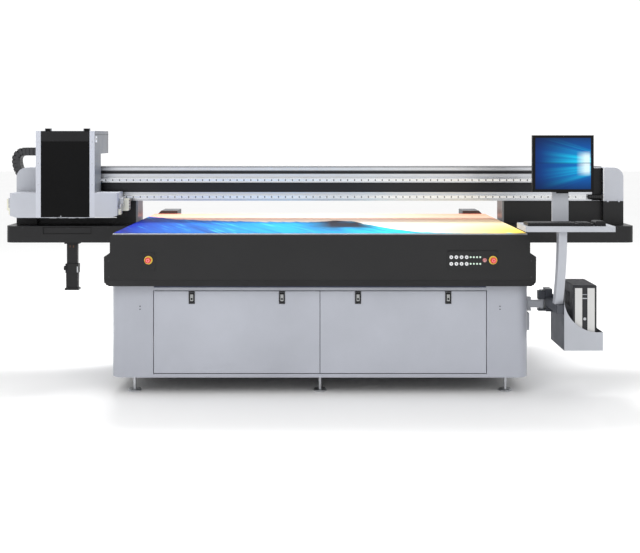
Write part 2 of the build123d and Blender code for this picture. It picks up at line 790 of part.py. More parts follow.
def make_saddles():
    """A plate on two rail blocks, with the screw's nut beside it."""
    reach = y_rail_w / 2 + run_gap
    nut_y = (160.0, 240.0)
    inner_x = screw_x + 29
    with BuildPart() as saddle:
        span_box((inner_x, saddle_end_x), saddle_y, (saddle_top_z - saddle_plate, saddle_top_z))
        for y0 in (saddle_y[0] + 15, saddle_y[1] - 95):
            span_box((y_rail_x - block_half_w, y_rail_x + block_half_w), (y0, y0 + 80),
                     (ledge_z + 5, saddle_top_z - saddle_plate))
        span_box((y_rail_x - reach, y_rail_x + reach), saddle_y,
                 (ledge_z, ledge_z + y_rail_h + run_gap), mode=Mode.SUBTRACT)
        span_box((screw_x - 29, inner_x), nut_y, (ledge_z + 5, screw_z + 50))
        bore_y(screw_x, screw_z, screw_r + shaft_gap, nut_y[0] - 1, nut_y[1] + 1)
    return both_sides(saddle.part)


trough_floor_z = chain_low_z - chain_h / 2 - 8


def make_chain_trough():
    """An open channel behind the beam for the cable chain."""
    y0, y1 = gantry_y[1], chain_y[1] + 12
    xs = (-beam_half, beam_half)
    with BuildPart() as trough:
        span_box(xs, (y0, y1), (trough_floor_z, trough_floor_z + 4))
        span_box(xs, (y0, y0 + 3), (trough_floor_z, trough_floor_z + 46))
        span_box(xs, (y1 - 3, y1), (trough_floor_z, trough_floor_z + 76))
    return [trough.part]


def make_service_post():
    """A post hanging under the left housing, with a clamp and a foot plate."""
    x, y = 282 - beam_half, -40.0
    foot = 549.0
    with BuildPart() as post:
        span_box((x - 37, x + 37), (y - 18, y + 18), (foot, lower_box_z[0]))
        span_box((x - 50, x + 50), (y - 32, y + 32), (foot, foot + 14))
        span_box((x - 42, x + 42), (y - 22, y + 22), (foot, 670))
        span_box((x - 46, x + 46), (y - 26, y + 26), (670, 735))
        span_box((x - 52, x + 52), (y - 32, y + 32), (lower_box_z[0] - 12, lower_box_z[0]))
        rod((x - 60, y, 702), (x - 46, y, 702), 16)
    return [post.part]


# ================================================================ carriage and head
head_mid_x = (head_x[0] + head_x[1]) / 2
z_rail_x = 80.0
z_rail_w = 20.0
z_rail_d = 12.0
z_plate_y = (2.0, 12.0)


def make_carriage():
    """The plate that runs on the beam's rails, its Z rails and the arm to the chain."""
    x0, x1 = head_mid_x - carriage_half, head_mid_x + carriage_half
    groove = x_rail_h / 2 + run_gap
    with BuildPart() as plate:
        span_box((x0, x1), carriage_y, carriage_z)
        for z in x_rail_z:
            for block_x in (x0, x1 - 100):
                span_box((block_x, block_x + 100), (carriage_y[1], block_y1), (z - 28, z + 28))
            span_box((x0, x1), (gantry_y[0] - x_rail_d - run_gap, gantry_y[0]),
                     (z - groove, z + groove), mode=Mode.SUBTRACT)
        for side in (-1, 1):
            x = head_mid_x + side * z_rail_x
            span_box((x - z_rail_w / 2, x + z_rail_w / 2), (carriage_y[0] - z_rail_d, carriage_y[0]),
                     (carriage_z[0] + 20, carriage_z[1] - 10))
        arm_x = (head_mid_x - 40, head_mid_x + 40)
        arm_low, arm_high = beam_z[1] + 5, beam_z[1] + 11
        span_box(arm_x, carriage_y, (carriage_z[1], arm_high))
        span_box(arm_x, (carriage_y[1], chain_y[1] + 6), (arm_low, arm_high))
        span_box(arm_x, (chain_y[1], chain_y[1] + 6), (arm_low, chain_top_z + chain_h / 2))
    return [plate.part]


def make_x_chain():
    """The cable chain's loop, with its upper run fixed to the carriage's arm."""
    high_r, low_r = chain_bend_r
    run_end = head_mid_x + 40
    left, top, low = chain_left_x, chain_top_z, chain_low_z
    with BuildPart() as chain:
        with BuildLine(Plane.XZ.offset(-(chain_y[0] + chain_y[1]) / 2)):
            start = Line((run_end, top), (left + high_r, top))
            CenterArc((left + high_r, top - high_r), high_r, 90, 90)
            CenterArc((left + low_r, low + low_r), low_r, 180, 90)
            Line((left + low_r, low), (run_end + 400, low))
        with BuildSketch(Plane(origin=start @ 0, x_dir=(0, 1, 0), z_dir=start % 0)):
            Rectangle(chain_y[1] - chain_y[0], chain_h)
        sweep()
    return [chain.part]


def make_head_shell():
    """The head's sheet body, open at the front for its cover, and its sliding back plate."""
    (x0, x1), (y0, y1), (z0, z1) = head_x, head_y, head_z
    wall = head_wall
    with BuildPart() as shell:
        span_box(head_x, head_y, head_z)
        span_box(head_x, (y1, head_overhang_y), (head_overhang_z, z1))
        span_box((x0 + wall, x1 - wall), (y0 + wall, y1), (z0 + wall, z1 - wall), mode=Mode.SUBTRACT)
        span_box((x0 + wall, x1 - wall), (y1, head_overhang_y - wall),
                 (head_overhang_z + wall, z1 - wall), mode=Mode.SUBTRACT)
        span_box((x0 + head_edge, x1 - head_edge), (y0, y0 + wall), (z0 + wall, z1),
                 mode=Mode.SUBTRACT)
        span_box((x0 + 50, x1 - 50), (y0 + 30, -14), (z0, z0 + wall), mode=Mode.SUBTRACT)
        for x in hinge_cover_x:
            cover_lugs(x)
    with BuildPart() as back:
        span_box((x0 + wall, x1 - wall), z_plate_y, (z0 + wall, head_overhang_z))
        for side in (-1, 1):
            x = head_mid_x + side * z_rail_x
            for z in (carriage_z[0] + 70, carriage_z[1] - 120):
                span_box((x - 22, x + 22), (z_plate_y[1], carriage_y[0] - 4), (z, z + 60))
            reach = z_rail_w / 2 + run_gap
            span_box((x - reach, x + reach), (carriage_y[0] - z_rail_d - run_gap, y1),
                     head_z, mode=Mode.SUBTRACT)
    return [shell.part, back.part]


def cover_lugs(x):
    """Two lugs with a pin between them, over a notch in the top sheet."""
    y, z = cover_pivot
    top = head_z[1]
    span_box((x - 17, x + 17), (head_y[0], y + 12), (top - head_wall, top), mode=Mode.SUBTRACT)
    for side in (-1, 1):
        span_box((x + side * 17.5, x + side * 23), (y - cover_pin_r - 2, y + cover_knuckle_r),
                 (top - head_wall, z + cover_knuckle_r))
    rod((x - 17.5, y, z), (x + 17.5, y, z), cover_pin_r)


def make_front_cover():
    """The glossy cover of the head, hung from two knuckles."""
    y0 = head_y[0]
    y, z = cover_pivot
    half_gap = head_edge + cover_gap
    with BuildPart() as cover:
        span_box((head_x[0] + half_gap, head_x[1] - half_gap), (y0, y0 + cover_thick),
                 (head_z[0] + head_wall + cover_gap, head_z[1] - head_wall - cover_gap))
        for x in hinge_cover_x:
            span_box((x - 16, x + 16), (y0, y), (z - 18, z))
            rod((x - 16, y, z), (x + 16, y, z), cover_knuckle_r)
            rod((x - 16, y, z), (x + 16, y, z), cover_pin_r + shaft_gap, mode=Mode.SUBTRACT)
    return [cover.part]


def make_uv_lamps():
    """A lamp housing on each side of the head, with its cable connectors."""
    (x0, x1), z0 = head_x, head_z[0]
    zs = (z0, z0 + lamp_box_h)
    left_w, right_w = lamp_box_w
    pieces = []
    for side, face, width in ((-1, x0, left_w), (1, x1, right_w)):
        outer = face + side * width
        with BuildPart() as lamp:
            span_box((face, outer), head_y, zs)
            edge = lamp.edges().filter_by(Axis.Y).group_by(Axis.Z)[0].sort_by(Axis.X)
            chamfer(edge[0 if side < 0 else -1], 15, 47)
            offset(amount=-sheet, openings=lamp.faces().sort_by(Axis.Y)[-1])
        pieces.append(lamp.part)
        reach = 59 if side < 0 else 60
        with BuildPart() as plug:
            span_box((outer, outer + side * reach), (-40, 20), (zs[0] + 40, zs[0] + 125))
            chamfer(plug.edges().filter_by(Axis.Y).group_by(Axis.Z)[0], 8)
        pieces.append(plug.part)
    return pieces


def make_printheads():
    """A carrier plate in the head's floor with its rows of print heads."""
    half_x, plate_z = 150.0, (1085.0, 1095.0)
    pieces = [plain_box((head_mid_x - half_x, head_mid_x + half_x),
                        (head_y[0] + 25, z_plate_y[0]), plate_z)]
    face_z = head_z[0] - 7
    for column in range(4):
        for row in range(2):
            x = head_mid_x + (column - 1.5) * 68
            y = -88 + row * 46 + (column % 2) * 8
            pieces.append(plain_box((x - 24, x + 24), (y - 15, y + 15), (face_z, plate_z[0])))
            pieces.append(plain_box((x - 20, x + 20), (y - 12, y + 12), (plate_z[1], 1190)))
    return pieces


# ================================================================ operator station
def make_side_bracket():
    """A channel on the cabinet's side with two ears and the arm's pin."""
    px, py = arm_pivot
    face = cabinet_width / 2
    low, high = arm_z[0] - ear_gap, arm_z[1] + ear_gap
    with BuildPart() as bracket:
        span_box((face, face + 6), (py - bracket_half, py + bracket_half), bracket_z)
        channel_z = (bracket_z[0], low - ear_thick - 10)
        span_box((face + 6, face + 26), (py - bracket_half, py + bracket_half), channel_z)
        span_box((face + 6, face + 22), (py - bracket_half + 4, py + bracket_half - 4), channel_z,
                 mode=Mode.SUBTRACT)
        for zs in ((low - ear_thick, low), (high, high + ear_thick)):
            span_box((face + 6, px + barrel_r), (py - barrel_r, py + barrel_r), zs)
        rod((px, py, low), (px, py, high), pivot_pin_r)
    return [bracket.part]


def make_swing_arm():
    (ax, ay), (tx, ty) = arm_pivot, turn_pivot
    with BuildPart() as arm:
        span_box((ax, tx), (ay - barrel_r, ay + barrel_r), (arm_z[0] + 6, arm_z[1] - 6))
        for x, y in (arm_pivot, turn_pivot):
            rod((x, y, arm_z[0]), (x, y, arm_z[1]), barrel_r)
        for x, y in (arm_pivot, turn_pivot):
            rod((x, y, arm_z[0]), (x, y, arm_z[1]), pivot_pin_r + shaft_gap, mode=Mode.SUBTRACT)
    return [arm.part]


def make_station_column():
    """The hub on the arm's end, the curved column and the screen's post."""
    tx, ty = turn_pivot
    low, high = arm_z[0] - ear_gap, arm_z[1] + ear_gap
    inner = tx + barrel_r + 3
    with BuildPart() as hub:
        rod((tx, ty, low), (tx, ty, high), pivot_pin_r)
        for zs in ((low - ear_thick, low), (high, high + 4 * ear_thick)):
            span_box((hub_x[0], inner), (ty - 22, ty + 22), zs)
        span_box((inner, hub_x[1]), (ty - 45, ty + 45), (low - ear_thick, high + 5 * ear_thick))
        span_box((inner, hub_x[1]), (hub_front_y, ty - 45), hub_z)
    foot_y, top_y = column_y
    half = column_deep / 2
    foot_z, top_z = hub_z[1], tray_z[0]
    bow = (foot_y - (foot_y - top_y) * 0.75, foot_z + (top_z - foot_z) * 0.5)
    with BuildPart() as column:
        with BuildSketch(Plane.YZ.offset(column_x[0])):
            with BuildLine():
                back = ThreePointArc((foot_y + half, foot_z), (bow[0] + half, bow[1]),
                                     (top_y + half, top_z))
                front = ThreePointArc((foot_y - half, foot_z), (bow[0] - half, bow[1]),
                                      (top_y - half, top_z))
                Line(back @ 0, front @ 0)
                Line(back @ 1, front @ 1)
            make_face()
        extrude(amount=column_x[1] - column_x[0])
    y, z = tilt_pivot
    mid = screen_centre[0]
    with BuildPart() as post:
        span_box(post_x, post_y, (tray_z[1], post_top_z))
        for side in (-1, 1):
            span_box((mid + side * 31, mid + side * 37), (y - 9, y + 9), (post_top_z, z + 9))
            span_box((mid + side * 31, mid + side * 37), post_y, (post_top_z - 10, post_top_z + 1))
        rod((mid - 31, y, z), (mid + 31, y, z), tilt_pin_r)
    return [hub.part, column.part, post.part]


def make_pc_holder():
    """An open bucket whose top sweeps down from its left side."""
    (x0, x1), (y0, y1), (z0, z1) = holder_x, holder_y, holder_z
    wall = holder_wall
    with BuildPart() as holder:
        span_box(holder_x, holder_y, holder_z)
        span_box((x0 + wall, x1 - wall), (y0 + wall, y1 - wall), (z0 + wall, z1),
                 mode=Mode.SUBTRACT)
        with BuildSketch(Plane.XZ.offset(-y1)):
            with BuildLine():
                sweep_edge = ThreePointArc((x0, z1), (x0 + 85, z1 - 148), (x1, holder_low_z))
                Line(sweep_edge @ 1, (x1 + 1, holder_low_z))
                Line((x1 + 1, holder_low_z), (x1 + 1, z1 + 1))
                Line((x1 + 1, z1 + 1), (x0, z1 + 1))
                Line((x0, z1 + 1), sweep_edge @ 0)
            make_face()
        extrude(amount=y1 - y0, mode=Mode.SUBTRACT)
    return [holder.part]


def make_pc_case():
    width, depth, height = pc_size
    floor = holder_z[0] + holder_wall
    with BuildPart() as case:
        span_box((pc_left_x, pc_left_x + width), (pc_front_y, pc_front_y + depth),
                 (floor, floor + height))
        fillet(case.faces().sort_by(Axis.Z)[-1].edges(), 8)
        front = pc_front_y
        for x0 in (pc_left_x + 12, pc_left_x + width - 58):
            span_box((x0, x0 + 46), (front - 3, front), (floor + 6, floor + height - 14))
    return [case.part]


def make_keyboard_tray():
    """A shallow tray with its front edge turned up."""
    with BuildPart() as tray:
        span_box(tray_x, tray_y, tray_z)
        fillet(tray.edges().filter_by(Axis.Z), 12)
        under = tray.faces().sort_by(Axis.Z)[0]
        offset(amount=-holder_wall, openings=under)
        top = tray_z[1]
        keep_x, keep_y = (column_x[0] + column_x[1]) / 2, column_y[1]
        with Locations((keep_x, keep_y, (top + tray_z[0]) / 2)):
            Box(column_x[1] - column_x[0] + 20, column_deep + 20, top - tray_z[0])
    return [tray.part]


def make_keyboard():
    floor = tray_z[1]
    with BuildPart() as board:
        span_box(keyboard_x, keyboard_y, (floor, floor + keyboard_thick))
        slope = board.edges().filter_by(Axis.X).group_by(Axis.Z)[-1].sort_by(Axis.Y)[0]
        chamfer(slope, 6)
    with BuildPart() as mouse:
        span_box(mouse_x, mouse_y, (floor, floor + 30))
        fillet(mouse.faces().sort_by(Axis.Z)[-1].edges(), 14)
    return [board.part, mouse.part]


def make_monitor():
    """The screen's housing with its tilt knuckle behind."""
    width, depth, height = screen_size
    mid, cy = screen_centre
    y, z = tilt_pivot
    back = cy + depth / 2
    with BuildPart() as monitor:
        span_box((mid - width / 2, mid + width / 2), (cy - depth / 2, back),
                 (screen_bottom_z, screen_bottom_z + height))
        chamfer(monitor.faces().sort_by(Axis.Y)[-1].edges(), 12)
        span_box((mid - width / 2 + 18, mid + width / 2 - 18), (cy - depth / 2, cy - depth / 2 + 2),
                 (screen_bottom_z + 18, screen_bottom_z + height - 16), mode=Mode.SUBTRACT)
        span_box((mid - 28, mid + 28), (back, y), (z - tilt_barrel_r, z + tilt_barrel_r))
        rod((mid - 28, y, z), (mid + 28, y, z), tilt_barrel_r)
        rod((mid - 28, y, z), (mid + 28, y, z), tilt_pin_r + shaft_gap, mode=Mode.SUBTRACT)
    return [monitor.part]


# ================================================================ inside the cabinet
def make_vacuum_pump():
    """A side-channel blower for the table: motor, impeller housing and feet."""
    x, y, floor = -650.0, 330.0, frame_bottom_z + tube
    axis_z = floor + 190
    with BuildPart() as pump:
        rod((x - 70, y, axis_z), (x + 70, y, axis_z), 165)
        rod((x + 70, y, axis_z), (x + 300, y, axis_z), 95)
        span_box((x - 70, x + 300), (y - 90, y + 90), (floor, floor + 40))
        rod((x, y + 110, axis_z), (x, y + 110, axis_z + 250), 30)
    return [pump.part, plain_box((-1000, -100), (y - 160, y + 160), (floor - 4, floor))]


def make_control_box():
    """The drive cabinet on the right bay's shelf."""
    floor = frame_bottom_z + tube
    with BuildPart() as box:
        span_box((260, 900), (120, 520), (floor, floor + 420))
        fillet(box.edges().filter_by(Axis.Z), 5)
        offset(amount=-sheet, openings=box.faces().sort_by(Axis.Y)[-1])
    return [box.part, plain_box((100, 1000), (100, 540), (floor - 4, floor))]


def main():
    makers = {
        "base_frame": make_base_frame, "levelling_feet": make_feet,
        "corner_panels": make_corner_panels, "side_panels": make_side_panels,
        "rear_panel": make_rear_panel, "door_surround": make_door_surround,
        "fascia": make_fascia, "skirt_sides": make_skirt_sides, "rear_skirt": make_rear_skirt,
        "vacuum_table": make_vacuum_table, "printed_board": make_board,
        "y_rails": make_y_rails, "y_motors": make_y_motors,
        "control_plate": make_control_plate, "button_housings": make_button_housings,
        "panel_lamps": make_panel_lamps, "estop_collars": make_estop_collars,
        "side_bracket": make_side_bracket, "vacuum_pump": make_vacuum_pump,
        "control_box": make_control_box, "gantry_beam": make_gantry_beam,
        "x_rails": make_x_rails, "end_caps": make_end_caps, "upper_boxes": make_upper_boxes,
        "lower_boxes": make_lower_boxes, "uprights": make_uprights, "saddles": make_saddles,
        "chain_trough": make_chain_trough, "service_post": make_service_post,
        "carriage_plate": make_carriage, "x_chain": make_x_chain,
        "head_shell": make_head_shell, "uv_lamps": make_uv_lamps,
        "printheads": make_printheads, "front_cover": make_front_cover,
        "swing_arm": make_swing_arm, "station_column": make_station_column,
        "pc_holder": make_pc_holder, "pc_case": make_pc_case,
        "keyboard_tray": make_keyboard_tray, "keyboard_mouse": make_keyboard,
        "monitor": make_monitor,
    }
    for label, maker in makers.items():
        save(group(maker()), label)
    screw = make_y_screw()
    save(mirrored_x(screw), "y_screw_left")
    save(screw, "y_screw_right")
    for number, (x, z) in enumerate(switch_places(), start=1):
        save(make_button(x, z), f"button_{number}")
    for side, place in zip(("left", "right"), estop_places):
        save(make_estop(*place), f"estop_{side}")
    save(make_door(-1), "door_left")
    save(make_door(1), "door_right")
    latch_xs = (-latch_outer_x, -latch_inner_x, latch_inner_x, latch_outer_x)
    for number, x in enumerate(latch_xs, start=1):
        save(make_paddle(x), f"latch_paddle_{number}")


main()
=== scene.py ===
"""Finishes, small details, lights and camera for the flatbed printer's frame."""
import bpy
import bmesh
from math import cos, pi, sin
from mathutils import Matrix, Vector


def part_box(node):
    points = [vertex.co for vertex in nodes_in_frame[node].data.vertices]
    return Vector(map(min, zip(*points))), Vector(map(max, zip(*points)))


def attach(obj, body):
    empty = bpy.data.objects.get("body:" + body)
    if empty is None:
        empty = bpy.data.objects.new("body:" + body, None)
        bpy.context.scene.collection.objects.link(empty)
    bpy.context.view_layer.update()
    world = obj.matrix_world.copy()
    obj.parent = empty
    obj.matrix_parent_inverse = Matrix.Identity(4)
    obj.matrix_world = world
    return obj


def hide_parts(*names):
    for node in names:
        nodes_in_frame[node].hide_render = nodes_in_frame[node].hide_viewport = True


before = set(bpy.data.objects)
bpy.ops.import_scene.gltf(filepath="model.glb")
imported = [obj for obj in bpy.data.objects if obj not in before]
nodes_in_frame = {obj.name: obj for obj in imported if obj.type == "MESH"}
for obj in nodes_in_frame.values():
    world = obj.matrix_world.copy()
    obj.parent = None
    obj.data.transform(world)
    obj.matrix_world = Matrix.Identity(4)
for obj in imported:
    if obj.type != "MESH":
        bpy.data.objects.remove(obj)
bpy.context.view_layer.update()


def srgb(r, g, b):
    """A colour given as eight-bit display values, as linear light."""
    def linear(v):
        v /= 255
        return v / 12.92 if v <= 0.04045 else ((v + 0.055) / 1.055) ** 2.4
    return (linear(r), linear(g), linear(b), 1.0)


# ---------------------------------------------------------------- materials
class Surface:
    """A Principled material with a few ways of adding real variation to it."""

    def __init__(self, name, colour, roughness=0.5, metallic=0.0):
        self.mat = bpy.data.materials.new(name)
        self.mat.use_nodes = True
        self.nodes = self.mat.node_tree.nodes
        self.links = self.mat.node_tree.links
        self.shader = self.nodes["Principled BSDF"]
        self.set("Base Color", colour)
        self.set("Roughness", roughness)
        self.set("Metallic", metallic)
        self.place = self.nodes.new("ShaderNodeTexCoord").outputs["Object"]
        self.colour = colour
        self.split = None

    def set(self, label, value):
        """Gives one of the shader's sockets a value or a link."""
        self.feed(self.shader.inputs[label], value)

    def feed(self, socket, value):
        if isinstance(value, bpy.types.NodeSocket):
            self.links.new(value, socket)
        else:
            socket.default_value = value

    def axis(self, name):
        if self.split is None:
            self.split = self.nodes.new("ShaderNodeSeparateXYZ")
            self.links.new(self.place, self.split.inputs["Vector"])
        return self.split.outputs[name]

    def noise(self, scale, detail=4, stretch=(1, 1, 1)):
        mapping = self.nodes.new("ShaderNodeMapping")
        mapping.inputs["Scale"].default_value = stretch
        self.links.new(self.place, mapping.inputs["Vector"])
        node = self.nodes.new("ShaderNodeTexNoise")
        node.inputs["Scale"].default_value = scale
        node.inputs["Detail"].default_value = detail
        node.inputs["Roughness"].default_value = 0.55
        self.links.new(mapping.outputs["Vector"], node.inputs["Vector"])
        return node.outputs["Fac"]

    def ranged(self, value, low, high, start=0.3, end=0.7):
        """Carries start..end over to low..high; the defaults suit a noise."""
        node = self.nodes.new("ShaderNodeMapRange")
        for label, number in (("From Min", start), ("From Max", end),
                              ("To Min", low), ("To Max", high)):
            node.inputs[label].default_value = number
        self.links.new(value, node.inputs["Value"])
        return node.outputs["Result"]

    def rise(self, value, start=0.3, end=0.7):
        return self.ranged(value, 0, 1, start, end)

    def fall(self, value, start, end):
        return self.ranged(value, 1, 0, start, end)

    def blended(self, factor, a, b):
        node = self.nodes.new("ShaderNodeMix")
        node.data_type = "RGBA"
        self.feed(node.inputs["Factor"], factor)
        self.feed(node.inputs["A"], a)
        self.feed(node.inputs["B"], b)
        return node.outputs["Result"]

    def math(self, operation, a, b=0.0):
        node = self.nodes.new("ShaderNodeMath")
        node.operation = operation
        self.feed(node.inputs[0], a)
        self.feed(node.inputs[1], b)
        return node.outputs["Value"]

    def times(self, a, b):
        return self.math("MULTIPLY", a, b)

    def either(self, a, b):
        return self.math("MAXIMUM", a, b)

    def below(self, axis, limit):
        return self.math("LESS_THAN", self.axis(axis), limit)

    def above(self, axis, limit):
        return self.math("GREATER_THAN", self.axis(axis), limit)

    def between(self, axis, low, high):
        return self.times(self.above(axis, low), self.below(axis, high))

    def bump(self, height, strength, distance):
        node = self.nodes.new("ShaderNodeBump")
        node.inputs["Strength"].default_value = strength
        node.inputs["Distance"].default_value = distance
        self.links.new(height, node.inputs["Height"])
        self.set("Normal", node.outputs["Normal"])

    def shade(self, factor):
        return tuple(min(1.0, c * factor) for c in self.colour[:3]) + (1.0,)

    def mottle(self, value, dark, light):
        """The material's own colour, varied from darker to lighter."""
        return self.blended(self.rise(value), self.shade(dark), self.shade(light))

    def paint(self, tint, second=None):
        """Colours the shader; second(surface) gives a mask and a second colour."""
        if second:
            mask, other = second(self)
            tint = self.blended(mask, tint, other)
        self.set("Base Color", tint)


def powder_coat(name, colour, roughness=0.42, second=None, shine=0.4):
    """Sprayed sheet metal: orange-peel bump, slight patchiness, uneven gloss."""
    s = Surface(name, colour, roughness)
    s.set("Specular IOR Level", shine)
    s.paint(s.mottle(s.noise(2.2, 5), 0.93, 1.05), second)
    s.set("Roughness", s.ranged(s.noise(9, 6), roughness - 0.05, roughness + 0.07))
    s.bump(s.noise(700, 2), 0.07, 0.0006)
    return s.mat


def moulded_plastic(name, colour, roughness=0.5, shine=0.3):
    """Moulded parts: a fine spark-eroded grain."""
    s = Surface(name, colour, roughness)
    s.set("Specular IOR Level", shine)
    s.paint(s.mottle(s.noise(6), 0.9, 1.06))
    s.set("Roughness", s.ranged(s.noise(30, 5), roughness - 0.06, roughness + 0.06))
    s.bump(s.noise(1400, 2), 0.12, 0.0004)
    return s.mat


def brushed_metal(name, colour, roughness=0.3, along=(1, 60, 60), second=None):
    """Drawn or ground metal: fine scratches that run one way."""
    s = Surface(name, colour, roughness, 1.0)
    scratch = s.noise(18, 6, along)
    s.paint(s.mottle(scratch, 0.86, 1.08), second)
    s.set("Roughness", s.ranged(scratch, roughness - 0.08, roughness + 0.1))
    s.bump(scratch, 0.08, 0.0005)
    return s.mat


def gloss(name, colour, roughness=0.06, coat=1.0, shine=0.5):
    """Lacquer or clear plastic: almost smooth, with faint waves."""
    s = Surface(name, colour, roughness)
    s.set("Specular IOR Level", shine)
    s.set("Coat Weight", coat)
    s.paint(s.mottle(s.noise(3, 3), 0.85, 1.1))
    s.set("Roughness", s.ranged(s.noise(14, 6), roughness * 0.6, roughness * 2.2))
    s.bump(s.noise(4, 2), 0.02, 0.004)
    return s.mat


cover_front_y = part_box("front_cover")[0][1]
door_lip = 0.08                                  # the doors stand this far forward
cabinet_front_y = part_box("side_panels")[0][1] - door_lip
face_skin = 0.0004                               # depth that counts as a front face
cap_inner_x = 2.043                              # inner face of the end caps
cream = srgb(232, 230, 212)


def head_painted_side_shade(s):
    """The shell's front edges are white; its inside and sides are grey, painted shade
    on the same white shell.
    """
    return s.below("Y", cover_front_y + 0.0006), srgb(194, 197, 206)


# Painted shadow: the strip standing proud at the surround's front is coloured navy for
# the shadow in the gap under the fascia.
def fascia_gap_shadow(s):
    return s.below("Y", cabinet_front_y - face_skin), srgb(44, 52, 78)


def latch_face(s):
    return s.below("Y", cabinet_front_y - face_skin), srgb(26, 26, 28)


def buffer_end(s):
    """What reaches inside the end caps is black rubber."""
    sideways = s.math("ABSOLUTE", s.axis("X"))
    return s.math("LESS_THAN", sideways, cap_inner_x - 0.0006), srgb(22, 22, 24)


# Painted shade: the holder's left side face is coloured darker than the rest of it.
def holder_side_shade(s):
    return s.below("X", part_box("pc_holder")[0][0] + 0.0006), srgb(70, 73, 80)


def column_hub(s):
    """The hub is dark; the column above it is light."""
    return s.either(s.below("Z", 0.602), s.above("Y", -0.71)), srgb(66, 69, 76)


def lamp_plugs(s):
    """The lamp boxes are light grey; the plugs at their ends are cream."""
    (x0, _, _), (x1, _, _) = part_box("uv_lamps")
    left_plug, right_plug = 0.0585, 0.0595
    return s.either(s.below("X", x0 + left_plug), s.above("X", x1 - right_plug)), cream


def beam_channel_shade(s):
    """Painted shade: the channels between the extruded beam's bright ridges are
    darkened, and so are two bands near its top at part strength.
    """
    (_, y0, z0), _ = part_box("gantry_beam")
    # the recess and the slot are painted shade where the channels sink behind the
    # ridges
    sunk = s.times(s.above("Y", y0 + 0.0075), s.below("Y", y0 + 0.0275))
    recess = s.times(s.between("Z", z0 + 0.064, z0 + 0.1322), sunk)
    slot = s.times(s.between("Z", z0 + 0.1965, z0 + 0.2145), sunk)
    # the upper band and the top rim get painted shade at part strength
    half_shade = 0.72
    upper = s.times(s.between("Z", z0 + 0.195, z0 + 0.2205), half_shade)
    rim = s.times(s.above("Z", z0 + 0.2415), half_shade)
    return s.either(s.either(recess, slot), s.either(upper, rim)), srgb(52, 52, 54)


def slanted_streaks(s, scale, detail):
    """Noise drawn out along the swell's slant."""
    slant = s.nodes.new("ShaderNodeCombineXYZ")
    run = s.math("ADD", s.axis("X"), s.times(s.axis("Y"), 0.42))
    s.feed(slant.inputs["X"], s.times(run, 16))
    s.feed(slant.inputs["Y"], s.times(s.axis("Y"), 1.3))
    node = s.nodes.new("ShaderNodeTexNoise")
    node.inputs["Scale"].default_value = scale
    node.inputs["Detail"].default_value = detail
    s.feed(node.inputs["Vector"], slant.outputs["Vector"])
    return node.outputs["Fac"]


def sunrise_sky(s, across, back):
    sky = s.blended(s.rise(back, 0.42, 0.95), srgb(255, 250, 238), srgb(250, 196, 172))
    corners = s.either(s.fall(across, 0.0, 0.45), s.rise(across, 0.6, 0.95))
    salmon = s.times(corners, s.rise(back, 0.55, 0.98))
    sky = s.blended(salmon, sky, srgb(246, 150, 122))
    glow = s.times(s.rise(across, 0.66, 0.98), s.fall(back, 0.1, 0.8))
    return s.blended(glow, sky, srgb(255, 216, 96))


def blue_swell(s, across, back):
    sea = s.blended(s.rise(across, 0.0, 0.2), srgb(0, 26, 150), srgb(0, 112, 205))
    sea = s.blended(s.rise(across, 0.2, 0.4), sea, srgb(0, 158, 226))
    sea = s.blended(s.rise(across, 0.55, 0.68), sea, srgb(30, 214, 240))
    dark = s.blended(s.rise(across, 0.0, 0.45), srgb(0, 16, 112), srgb(0, 92, 170))
    troughs = s.ranged(slanted_streaks(s, 0.7, 5), 0, 0.85, 0.5, 0.72)
    sea = s.blended(troughs, sea, dark)
    foam = s.ranged(slanted_streaks(s, 1.5, 6), 0, 0.6, 0.56, 0.74)
    sea = s.blended(foam, sea, srgb(84, 214, 250))
    hollow = s.times(s.rise(across, 0.43, 0.53), s.fall(across, 0.6, 0.68))
    patches = s.ranged(s.noise(3.2, 6), 0.2, 1, 0.36, 0.52)
    deep = s.times(s.rise(back, 0.02, 0.3), patches)
    return s.blended(s.times(hollow, deep), sea, srgb(2, 14, 38))


def swell_crest(s, across):
    """How far back the swell reaches, from the sheet's left to its right."""
    crest = s.nodes.new("ShaderNodeFloatCurve")
    line = crest.mapping.curves[0]
    line.points[0].location = (0.0, 0.84)
    line.points[1].location = (1.0, 0.0)
    for place in ((0.13, 0.66), (0.3, 0.56), (0.48, 0.54), (0.56, 0.6), (0.62, 0.42),
                  (0.7, 0.15), (0.8, 0.02)):
        line.points.new(*place)
    crest.mapping.update()
    s.feed(crest.inputs["Value"], across)
    spray = s.ranged(slanted_streaks(s, 0.8, 6), -0.03, 0.03)
    return s.math("ADD", crest.outputs["Value"], spray)


def printed_sheet():
    """A printed test sheet: a pale sunrise sky over a long streaked blue swell."""
    s = Surface("printed_sheet", srgb(250, 245, 230), 0.55)
    s.set("Specular IOR Level", 0.06)
    (x0, y0, _), (x1, y1, _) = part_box("printed_board")
    across = s.rise(s.axis("X"), x0, x1)
    back = s.rise(s.axis("Y"), y0, y1)
    sea_mask = s.rise(s.math("SUBTRACT", swell_crest(s, across), back), 0.0, 0.03)
    sky, sea = sunrise_sky(s, across, back), blue_swell(s, across, back)
    s.paint(s.blended(sea_mask, sky, sea))
    s.bump(s.noise(500, 3), 0.04, 0.0004)
    return s.mat


